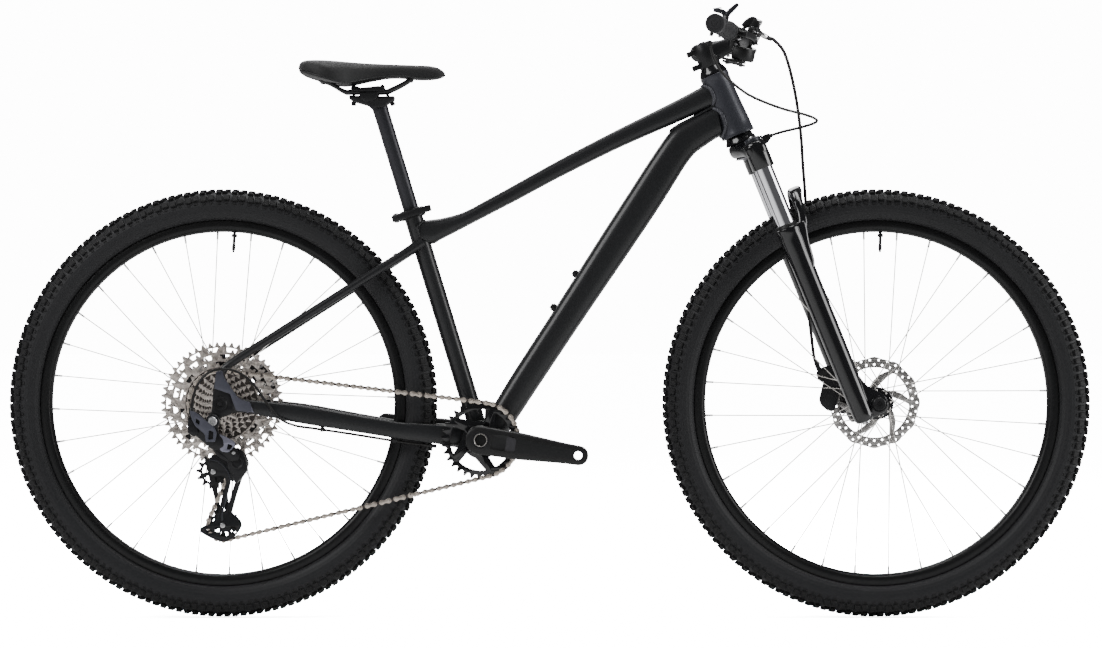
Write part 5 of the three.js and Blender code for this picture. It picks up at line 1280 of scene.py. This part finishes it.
# ------------------------------------------------------------------ sprockets
cog_phase = tooth_phase(1)
cogs, dark, shade_discs = [], [], []
for i, teeth in enumerate(COGS):
    y = COG_FIRST_Y - COG_STEP * i
    r = pitch_radius(teeth)
    lower = pitch_radius(COGS[i + 1]) if i < len(COGS) - 1 else 0
    holes = [hole(0, 0, min(r - 7.6, max(6.4, lower - 6)), 40)]
    if teeth >= 33:
        holes += fan(lower - 1.6, r - 6.4, 18 if teeth > 40 else 14, 0.56, 7 * i)
    if 10 < teeth <= 33:
        # A thin dark disc behind the teeth of each middle cog: painted shade in the gaps between cogs, not a
        # real part.
        inside = max(8.0, lower - 5)
        shade_discs.append(sleeve(inside, r - 4.2, y - 0.95, y - 0.7, REAR_AXLE, 64))
    if 16 <= teeth < 33:
        holes += [hole(*polar(r - 6, t), 1.5, 10) for t in around(teeth)]
    cogs.append(sprocket((-AXLE_X, TYRE_R), teeth, y - 0.8, y + 0.8,
                         cog_phase if teeth == COG_IN_USE else cog_phase + 0.13 * i, holes, 3.2, 0.2))
# The cogs' dark spotting is painted shade between the teeth.
piece("cogs", joined(*cogs), "sprockets", NICKEL_AND_SHADE, ["cassette"], angle=30)
# Painted shade discs behind the cogs.
piece("cog_shade_discs", joined(*shade_discs), "sprockets", CHAIN_DARK_AND_COG_SHADE, angle=30)
for i, teeth in enumerate(COGS[1:]):
    y = COG_FIRST_Y - COG_STEP * i
    r = pitch_radius(teeth)
    near, far = y - 0.6, y - COG_STEP + 0.6
    if teeth < 30:
        dark.append(sleeve(6.4, r - 8.4, near, far, REAR_AXLE))
        continue
    dark.append(sleeve(6.4, 26, near, far, REAR_AXLE, 40))
    arm = rounded([(20, -4), (r - 6, -6), (r - 5, 0), (r - 6, 6), (20, 4)], 2)
    dark += [plate(arm, far, near, REAR_AXLE @ turned("Z", 45 * k + 9 * i)) for k in range(8)]
piece("cassette_spider", joined(*dark), "sprockets", SATIN, angle=30)
ring_end = lathe([(6.4, -73.6), (8.4, -73.6), (8.8, -73), (12.4, -73), (13.4, -72.2), (13.4, -71.3),
                  (6.4, -71.3)], REAR_AXLE, 40)
notches = rods_round(18, 11.2, -AXLE_X, TYRE_R, -73.8, -72, 0.9)
inner_end = lathe([(6.4, -29), (14, -29), (17, -30), (26, -30.6), (26, -31.4), (6.4, -31.4)],
                  REAR_AXLE, 40)
piece("cassette_lockring", joined(ring_end, *notches, inner_end), "sprockets", SATIN)

windows = []
for i in range(5):
    a = 72 * i - 70
    windows.append(rounded(arc(0, 0, 53, a - 64, a - 11, 14) + arc(0, 0, 33, a - 37, a - 67, 8), 3, 3))
windows.append(hole(0, 0, 12.7, 32))
ring = sprocket((BB_X, BB_Z), RING_TEETH, RING_Y - 0.9, RING_Y + 0.9, tooth_phase(0), windows, 3.4, 0.35,
                0.36)
ring_mount = lathe([(12.7, RING_Y - 0.6), (24.6, RING_Y - 0.6), (24, RING_Y - 2), (22.6, RING_Y - 3),
                    (22.6, -60.6), (21.8, -61.6), (12.7, -61.6)], SHELL, 48)
raised = []
for i in range(5):
    rib = [(24, -7), (34, -4.6), (56, -4), (58, 0), (56, 4), (34, 4.6), (24, 7)]
    raised.append(plate(rounded(rib, 3), RING_Y - 2, RING_Y - 0.7, SHELL @ turned("Z", 72 * i - 75),
                        bevel=0.4))
piece("ring_disc", joined(ring, ring_mount, *raised), "crankset", GLOSS, ["chainring"],
      angle=34)


def pulley(centre, stop, name, node, body):
    phase = tooth_phase(stop)
    spokes = fan(9, 19, 5, 0.62, 20)
    wheel_part = sprocket(centre, PULLEY_TEETH, CHAIN_Y - 0.95, CHAIN_Y + 0.95, phase,
                          spokes + [hole(0, 0, 3.3, 20)], 3.4, 0.3, 0.4)
    boss = lathe([(3.3, CHAIN_Y - 3.2), (5.6, CHAIN_Y - 3.2), (6, CHAIN_Y - 2.8), (6, CHAIN_Y + 2.8),
                  (5.6, CHAIN_Y + 3.2), (3.3, CHAIN_Y + 3.2)], along_y(*centre), 32)
    piece(name, joined(wheel_part, boss), body, PLASTIC, [node], angle=34)


pulley(GUIDE, 2, "pulley_guide", "guide_pulley", "guide")
pulley(TENSION, 3, "pulley_tension", "tension_pulley", "tension")

# ------------------------------------------------------------------ rear derailleur
CAGE_OUTER = rounded([(-590, 278), (-580, 284), (-570, 283), (-558, 287), (-538, 290), (-524, 283),
                      (-519, 268), (-531, 244), (-541, 214), (-549, 184), (-541, 178), (-534, 171),
                      (-532, 160), (-546, 140), (-562, 133), (-584, 139), (-604, 150), (-604, 158),
                      (-588, 164), (-576, 170), (-573, 182), (-567, 210), (-559, 236), (-563, 249),
                      (-576, 247), (-585, 248), (-588, 255), (-586, 263), (-593, 269)], 4, 3)
CAGE_INNER = rounded([(-594, 262), (-588, 268), (-572, 268), (-562, 250), (-557, 214), (-554, 182),
                      (-534, 171), (-532, 160), (-546, 140), (-562, 133), (-584, 139), (-604, 150),
                      (-604, 158), (-580, 170), (-577, 182), (-581, 212), (-590, 244)], 5, 3)
LONG_SLOT = rounded([(-553, 239), (-543.5, 238), (-559.5, 187), (-567, 188)], 3, 4)
guard_windows = [rounded([(x - w, z - h), (x + w, z - h - 1), (x + w, z + h - 1), (x - w, z + h)], 2.4, 4)
                 for x, z, w, h in ((-588, 152.6, 5, 3.6), (-575, 155.4, 4, 4.4), (-562.5, 148, 6.4, 3.6),
                                    (-547, 155, 4.6, 5.6))]
outer_cage = plate(CAGE_OUTER, -51.9, -50, SIDE_PLANE,
                   [LONG_SLOT, hole(*CAGE_PIVOT, 6.5, 24), *guard_windows], 0.4)
inner_cage = plate(CAGE_INNER, -42.2, -40.4, SIDE_PLANE,
                   [rounded([(-577, 236), (-570, 236), (-562, 186), (-569, 186)], 2), *guard_windows], 0.4)
axles = [rod((c[0], -51.9, c[1]), (c[0], -40.4, c[1]), 3, 20) for c in (GUIDE, TENSION)]
ridge = tube(spline([(-588, -51.8, 276), (-572, -51.8, 272), (-557, -51.8, 257), (-553, -51.8, 238),
                     (-560, -51.8, 208), (-566, -51.8, 182), (-566, -51.8, 170)], 6), 1.8, 10)
piece("cage_ridge", ridge, "cage", MECH)
piece("cage_plates", joined(outer_cage, inner_cage, *axles), "cage", CAGE, ["derailleur_cage"])
cage_bolts = [bolt(along_y(*c) @ shift(0, 0, -51.8) @ turned("X", 180), 4.4, 1.6)
              for c in (GUIDE, TENSION)]
cage_bolts += [bolt(along_y(*c) @ shift(0, 0, -40.5), 4, 0.9) for c in (GUIDE, TENSION)]
piece("cage_bolts", joined(*cage_bolts), "cage", BOLT)

upper_knuckle = rounded([(-619, 358), (-611, 361), (-604, 358), (-591, 345), (-584, 351), (-577, 353),
                         (-570, 349), (-567, 341), (-570, 332), (-568, 322), (-560, 313), (-558, 300),
                         (-571, 292), (-584, 297), (-600, 312), (-616, 324), (-619, 338)], 4)
knuckle = joined(
    plate(upper_knuckle, -99, -86.6, SIDE_PLANE, bevel=2.4),
    side_plate([(-621, 350), (-606, 341), (-602, 323), (-610, 316), (-621, 323)], 3, -103, -94, 1.4),
    lathe([(8.4, -101), (11, -101), (12, -100), (12, -92), (8.4, -92)], along_y(*HANGER), 40),
    tube([(-615, -94.5, 355), (-615, -94.5, 364), (-615, -94.5, 366)], [5.4, 4.6, 3.4], 24),
    rod((-597, -88, 322), (-606, -88, 331), 3.4, 20, 0.5),
)
piece("upper_knuckle", knuckle, "frame", CAGE, ["derailleur_body"])
shelf = side_plate([(-618, 362), (-608, 359), (-588, 343), (-576, 334), (-571, 323), (-574, 307.5),
                    (-589.7, 307.5), (-592, 321), (-608, 335), (-614, 346)], 2.2, -105, -98, 1.4,
                   [rounded([(-584, 328), (-577, 325), (-577.6, 312), (-586, 312)], 2),
                    rounded([(-606, 348), (-600, 343), (-601, 337), (-607, 341)], 1.6)])
piece("knuckle_shelf", shelf, "frame", RIDGE)
link_out = rounded([(-573, 323), (-557, 317), (-541, 308), (-540, 301), (-552, 289), (-564, 291),
                    (-572, 303)], 3)
link_in = rounded([(-580, 316), (-560, 309), (-542, 299), (-532, 287), (-534, 276), (-548, 274), (-560, 286),
                   (-580, 299)], 5)
dent = rounded([(-552.5, 304), (-545, 301.5), (-547, 295), (-554, 294.5)], 1.5)
links = joined(plate(link_out, -98.4, -93.4, SIDE_PLANE, [dent], 1.6),
               plate(link_in, -81.6, -77, SIDE_PLANE, bevel=1.3))
piece("mech_links", links, "frame", LINK_GREY_AND_HIGHLIGHT)
core = joined(plate(link_in, -93, -82, SIDE_PLANE, bevel=1),
              side_plate([(-590, 308), (-572, 300), (-560, 288), (-546, 280), (-552, 272), (-572, 284)], 4,
                         -90, -80, 1))
piece("mech_link_core", core, "frame", CAGE)
pivots = [placed(bolt(HERE, 3, 0.9), shift(x, -93, z) @ turned("X", 90))
          for x, z in ((-574.5, 300), (-543, 289))]
hanger_bolt = lathe([(0, -100.4), (3.9, -100.4), (4.3, -104), (7, -104), (7.8, -103.2), (8, -100), (8, -84.4),
                     (4, -84.4), (4, -76), (0, -76)], along_y(*HANGER), 32)
piece("mech_bolts", joined(hanger_bolt, *pivots), "frame", BOLT)
housing = joined(lathe([(0, -82), (7, -82), (7.6, -84), (15.4, -84), (16.8, -82.8), (17, -80), (17, -55),
                        (16, -53.4), (6.2, -52.4), (6.2, -49.6), (0, -49.6)], along_y(*CAGE_PIVOT), 48),
                 lathe([(17, -66), (17.8, -65.4), (17.8, -62.6), (17, -62)], along_y(*CAGE_PIVOT), 48),
                 side_plate([(-556, 281), (-548, 290), (-539, 298), (-528, 291), (-522.5, 278), (-520, 258),
                             (-529, 246), (-538, 236), (-543, 240), (-547, 252), (-553, 264)], 3, -88, -60,
                            2.6),
                 lathe([(8, -89.4), (9.4, -90), (10.8, -89.4), (11, -86), (8, -86)], along_y(*CAGE_PIVOT),
                       40))
piece("mech_housing", housing, "frame", CAGE)

# ------------------------------------------------------------------ cranks
def crank_arm():
    """An arm along +x from the axle. Its outer face, with a pocket, is at the most negative y."""
    rings = []
    stations = [(-25.4, 3, 62, 84), (-24, 11, 61.9, 84.4), (-20, 17.6, 61.9, 85), (-12, 22.8, 61.9, 85.4),
                (0, 25, 61.9, 85.6), (14, 24.6, 61.9, 85.7), (30, 24.2, 62, 86), (50, 23.9, 63, 86.7),
                (68, 23.4, 65.6, 87.3), (84, 22.4, 67.4, 88), (100, 21.2, 69.6, 88.6),
                (125, 19.4, 72.4, 89.5), (150, 17.7, 74.6, 90), (165, 17.2, 75.6, 90), (175, 16.4, 76, 90),
                (182, 12.8, 76, 90), (186, 7.4, 76.2, 89.8), (187.5, 2, 77, 89)]
    for p, q in zip(spline([(u, half, 0) for u, half, a, b in stations], 4),
                    spline([(u, a, b) for u, half, a, b in stations], 4)):
        inner, outer = q.y, q.z
        rings.append(oval(Vector((p.x, -(inner + outer) / 2, 0)), Vector((0, 0, max(1.0, p.y))),
                          Vector((0, (outer - inner) / 2, 0)), 4.2, 40))
    return loft(rings)


def crank(name, side, turn, node, bore):
    """side -1 is the right-hand arm. The eye at its end takes a pedal axle."""
    place = shift(BB_X, 0, BB_Z) @ turned("Y", turn)
    if side > 0:
        place = place @ FLIP
    holder = piece(name, placed(crank_arm(), place), "crankset", CRANKS, [node], angle=42)
    pocket = rounded([(18, -12), (40, -13), (61, -10), (61, 10), (54, 15), (40, 15), (18, 13)], 3)
    cutters = [
        plate(pocket, -96, -83.4, place @ along_y(0, 0), bevel=0.8),
        placed(rod((CRANK, -99, 0), (CRANK, -60, 0), 7.2, 32), place),
        placed(rod((0, -99, 0), (0, -55, 0), bore, 40), place),
        placed(rod((0, -99, 0), (0, -81, 0), 14.3, 40), place),
    ]
    for k, shape in enumerate(cutters):
        tool = solid(f"{name}_cut{k}", shape, CRANKS)
        cut = holder.modifiers.new("cut", "BOOLEAN")
        cut.operation, cut.solver, cut.object = "DIFFERENCE", "EXACT", tool
        bpy.context.view_layer.update()
        mesh = bpy.data.meshes.new_from_object(holder.evaluated_get(bpy.context.evaluated_depsgraph_get()))
        holder.modifiers.clear()
        holder.data = mesh
        bpy.data.objects.remove(tool)
    holder.data.shade_smooth()
    holder.data.set_sharp_from_angle(angle=radians(38))
    # A sloping face at the end of the pocket, coloured lighter than the arm as painted highlight where it
    # catches the light.
    corners = [(42, -83, -13), (63, -83, -10), (63, -86.8, -10), (42, -83, 15), (63, -83, 11),
               (63, -86.8, 11)]
    sides = [(0, 1, 2), (3, 5, 4), (0, 2, 5, 3), (0, 3, 4, 1), (1, 4, 5, 2)]
    piece(name + "_facet", placed((corners, sides), place), "crankset", FACET_HIGHLIGHT)
    insert = lathe([(7.2, -90.4), (8.9, -90.4), (9.2, -90), (9.2, -89.6), (7.2, -76.4), (7.15, -76.4),
                    (7.15, -90)], place @ shift(CRANK, 0, 0) @ along_y(0, 0), 40)
    piece(name + "_eye", insert, "crankset", SATIN)
    ring = lathe([(12.6, -81.2), (12.6, -84.6), (13, -85.2), (13.8, -85.2), (14.2, -84.6), (14.2, -81.2)],
                 place @ along_y(0, 0), 48)
    piece(name + "_ring", ring, "crankset", POST)


crank("crank_r", -1, CRANK_DROP, "crank_right", 12.5)
crank("crank_l", 1, CRANK_DROP + 180, "crank_left", 11.4)
spindle = lathe([(10, -82), (10.6, -82.6), (11.4, -82.6), (12, -82), (12, 65.4), (10, 65.4)], SHELL, 40)
piece("spindle", spindle, "crankset", STEEL)
# A near-black lining inside the hollow spindle: painted shade in the bore, not a real part.
wall = lathe([(9.9, -20), (9.9, -78), (0, -78), (0, -76), (9, -76), (9, -20)], SHELL, 32)
piece("spindle_bore_shade", wall, "crankset", BORE_SHADE)
cap = lathe([(0, 84.6), (4, 84.6), (4.6, 87), (9.4, 87), (10.4, 86), (11.3, 84), (11.3, 66), (0, 66)], SHELL,
            40)
piece("crank_l_cap", cap, "crankset", SATIN)

# ------------------------------------------------------------------ cables and hoses
SHIFT_ROUTE = [(-206, -41.5, 299.6), (-259, -45, 306.4), (-345, -54, 320.4), (-405, -61, 329.5),
               (-440, -72, 335.5), (-466, -84, 349), (-491, -90, 381), (-511, -92, 409), (-536, -92.5, 427.5),
               (-561, -93, 432.6), (-586, -94, 426.5), (-604, -94.5, 407), (-611.5, -94.5, 386),
               (-615, -94.5, 364)]
piece("shift_housing", tube(spline(SHIFT_ROUTE, 8), 2.2, 18), "frame", HOSE, ["shift_cable"], angle=80)
ends = [rod((-613.6, -94.5, 374), (-615, -94.5, 364), 3, 20, 0.4),
        rod((-196, -40.8, 298.4), (-208, -41.7, 300), 3.2, 20, 0.5)]
clips = []
for x, y, z, lean in ((-268, -46, 307.8, 9), (-392, -59.4, 327.5, 8)):
    clips.append(placed(rod((-4, 0, 0), (4, 0, 0), 3.4, 20, 0.4), shift(x, y, z) @ turned("Y", -lean)
                        @ turned("Z", -7)))
    clips.append(placed(block(-3, 3, 0, 4, 0, 6), shift(x, y, z) @ turned("Y", -lean)))
piece("shift_ferrules", joined(*ends, *clips), "frame", SATIN, edge=0.3)

HOSE_ROUTE = [(367.5, -178, 996.5), (381.5, -172, 991), (401, -150, 968), (421, -84, 911), (436, -4, 846),
              (442.5, 36, 790), (446.5, 43, 745), (449.5, 42, 690), (451, 40, 600), (453.5, 40, 531),
              (457.5, 40, 492), (462.5, 38, 452), (469, 37, 436)]
hose = piece("brake_hose", tube(spline(HOSE_ROUTE, 12), 2.9, 18), None, HOSE, ["front_brake_hose"], angle=80)
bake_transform(hose)
hose_nut = tube([(365.5, -178.8, 997.3), (370, -176.9, 995.4), (372, -176, 994.3), (376, -174, 992.6)],
                [4.2, 4.2, 3.4, 3.2], 24)
piece("hose_nut", hose_nut, COLUMN, SATIN)
caliper_nut = joined(
    tube([(464.6, 37.6, 447), (466.4, 37.4, 442), (468, 37.1, 437.6), (471, 36.8, 431), (475, 36.6, 421),
          (480, 36.6, 410)], [3.3, 4.2, 4.4, 4.4, 4.8, 5.4], 24),
    side_plate([(466, 422), (469, 431), (482, 436), (500, 440), (504, 428), (486, 420), (478, 408),
                (470, 412)], 3, 31, 42, 1.4),
)
piece("caliper_nut", caliper_nut, "lowers", SATIN)

CABLE_ROUTE = [(272, -219, 986), (272.5, -213, 972.5), (283, -198, 948), (301, -180, 927), (339, -152, 900),
               (393, -118, 880), (436, -92, 870.2), (456, -80, 863.5), (458, -75, 857.5), (437, -70, 850),
               (401, -60, 841.5), (378, -51.5, 834.5)]
piece("lockout_housing", tube(spline(CABLE_ROUTE, 10), 2.5, 18), COLUMN, HOSE, ["lockout_cable"],
      angle=80)

# ------------------------------------------------------------------ room
def floor_white():
    """White paper: lit like any surface, and bright enough to the camera to meet the white surround."""
    m = bpy.data.materials.new("floor_white")
    m.use_nodes = True
    nodes, links = m.node_tree.nodes, m.node_tree.links
    shader = nodes["Principled BSDF"]
    shader.inputs["Base Color"].default_value = (0.90, 0.90, 0.90, 1)
    shader.inputs["Roughness"].default_value = 0.6
    shader.inputs["Specular IOR Level"].default_value = 0.1
    glow, paper = nodes.new("ShaderNodeEmission"), nodes.new("ShaderNodeBsdfDiffuse")
    paper.inputs["Color"].default_value = (16.0, 16.0, 16.0, 1)
    where, squash = nodes.new("ShaderNodeTexCoord"), nodes.new("ShaderNodeMapping")
    squash.inputs["Scale"].default_value = (0.7, 1.3, 1.0)
    reach, fade = nodes.new("ShaderNodeVectorMath"), nodes.new("ShaderNodeMapRange")
    reach.operation = "LENGTH"
    fade.interpolation_type = "SMOOTHSTEP"
    for socket, value in (("From Min", 0.4), ("From Max", 2.4), ("To Min", 5.0), ("To Max", 13.0)):
        fade.inputs[socket].default_value = value
    links.new(where.outputs["Object"], squash.inputs["Vector"])
    links.new(squash.outputs["Vector"], reach.inputs[0])
    links.new(reach.outputs["Value"], fade.inputs["Value"])
    links.new(fade.outputs["Result"], glow.inputs["Strength"])
    path = nodes.new("ShaderNodeLightPath")
    choose, total = nodes.new("ShaderNodeMixShader"), nodes.new("ShaderNodeAddShader")
    links.new(glow.outputs["Emission"], total.inputs[0])
    links.new(paper.outputs["BSDF"], total.inputs[1])
    links.new(path.outputs["Is Camera Ray"], choose.inputs["Fac"])
    links.new(shader.outputs["BSDF"], choose.inputs[1])
    links.new(total.outputs["Shader"], choose.inputs[2])
    links.new(choose.outputs["Shader"], nodes["Material Output"].inputs["Surface"])
    return m


floor_mesh = bpy.data.meshes.new("floor")
floor_mesh.from_pydata([(-30, -12, -0.0005), (30, -12, -0.0005), (30, 60, -0.0005), (-30, 60, -0.0005)], [],
                       [(0, 1, 2, 3)])
floor_mesh.materials.append(floor_white())
floor = bpy.data.objects.new("floor", floor_mesh)
bpy.context.scene.collection.objects.link(floor)

world = bpy.data.worlds.new("studio")
bpy.context.scene.world = world
world.use_nodes = True
tree = world.node_tree
background = tree.nodes["Background"]
background.inputs["Color"].default_value = (0.80, 0.81, 0.83, 1)
background.inputs["Strength"].default_value = 0.13
seen = tree.nodes.new("ShaderNodeBackground")
seen.inputs["Color"].default_value = (1, 1, 1, 1)
seen.inputs["Strength"].default_value = 14.0
mix = tree.nodes.new("ShaderNodeMixShader")
path = tree.nodes.new("ShaderNodeLightPath")
tree.links.new(path.outputs["Is Camera Ray"], mix.inputs["Fac"])
tree.links.new(background.outputs["Background"], mix.inputs[1])
tree.links.new(seen.outputs["Background"], mix.inputs[2])
tree.links.new(mix.outputs["Shader"], tree.nodes["World Output"].inputs["Surface"])


def softbox(name, place, target, width, height, watts):
    light = bpy.data.lights.new(name, "AREA")
    light.shape, light.size, light.size_y, light.energy = "RECTANGLE", width, height, watts
    lamp = bpy.data.objects.new(name, light)
    lamp.location = place
    lamp.rotation_euler = (Vector(target) - Vector(place)).to_track_quat("-Z", "Y").to_euler()
    bpy.context.scene.collection.objects.link(lamp)


softbox("key", (-3.4, -2.3, 3.0), (-0.2, 0, 0.5), 3.0, 2.0, 150)
softbox("side", (4.0, -0.9, 1.5), (0.2, 0, 0.6), 2.0, 2.6, 120)
softbox("top", (0.2, 0.2, 3.6), (0, 0, 0.5), 3.4, 1.2, 95)
softbox("back", (-0.6, 3.4, 2.4), (0, 0, 0.6), 3.2, 1.2, 50)

lens = bpy.data.cameras.new("camera")
lens.lens, lens.sensor_width, lens.clip_start, lens.clip_end = 129.5, 36, 0.05, 200
camera = bpy.data.objects.new("camera", lens)
camera.location = (0.002, -6.9, 0.510)
camera.rotation_euler = (radians(90), 0, 0)
bpy.context.scene.collection.objects.link(camera)
bpy.context.scene.camera = camera
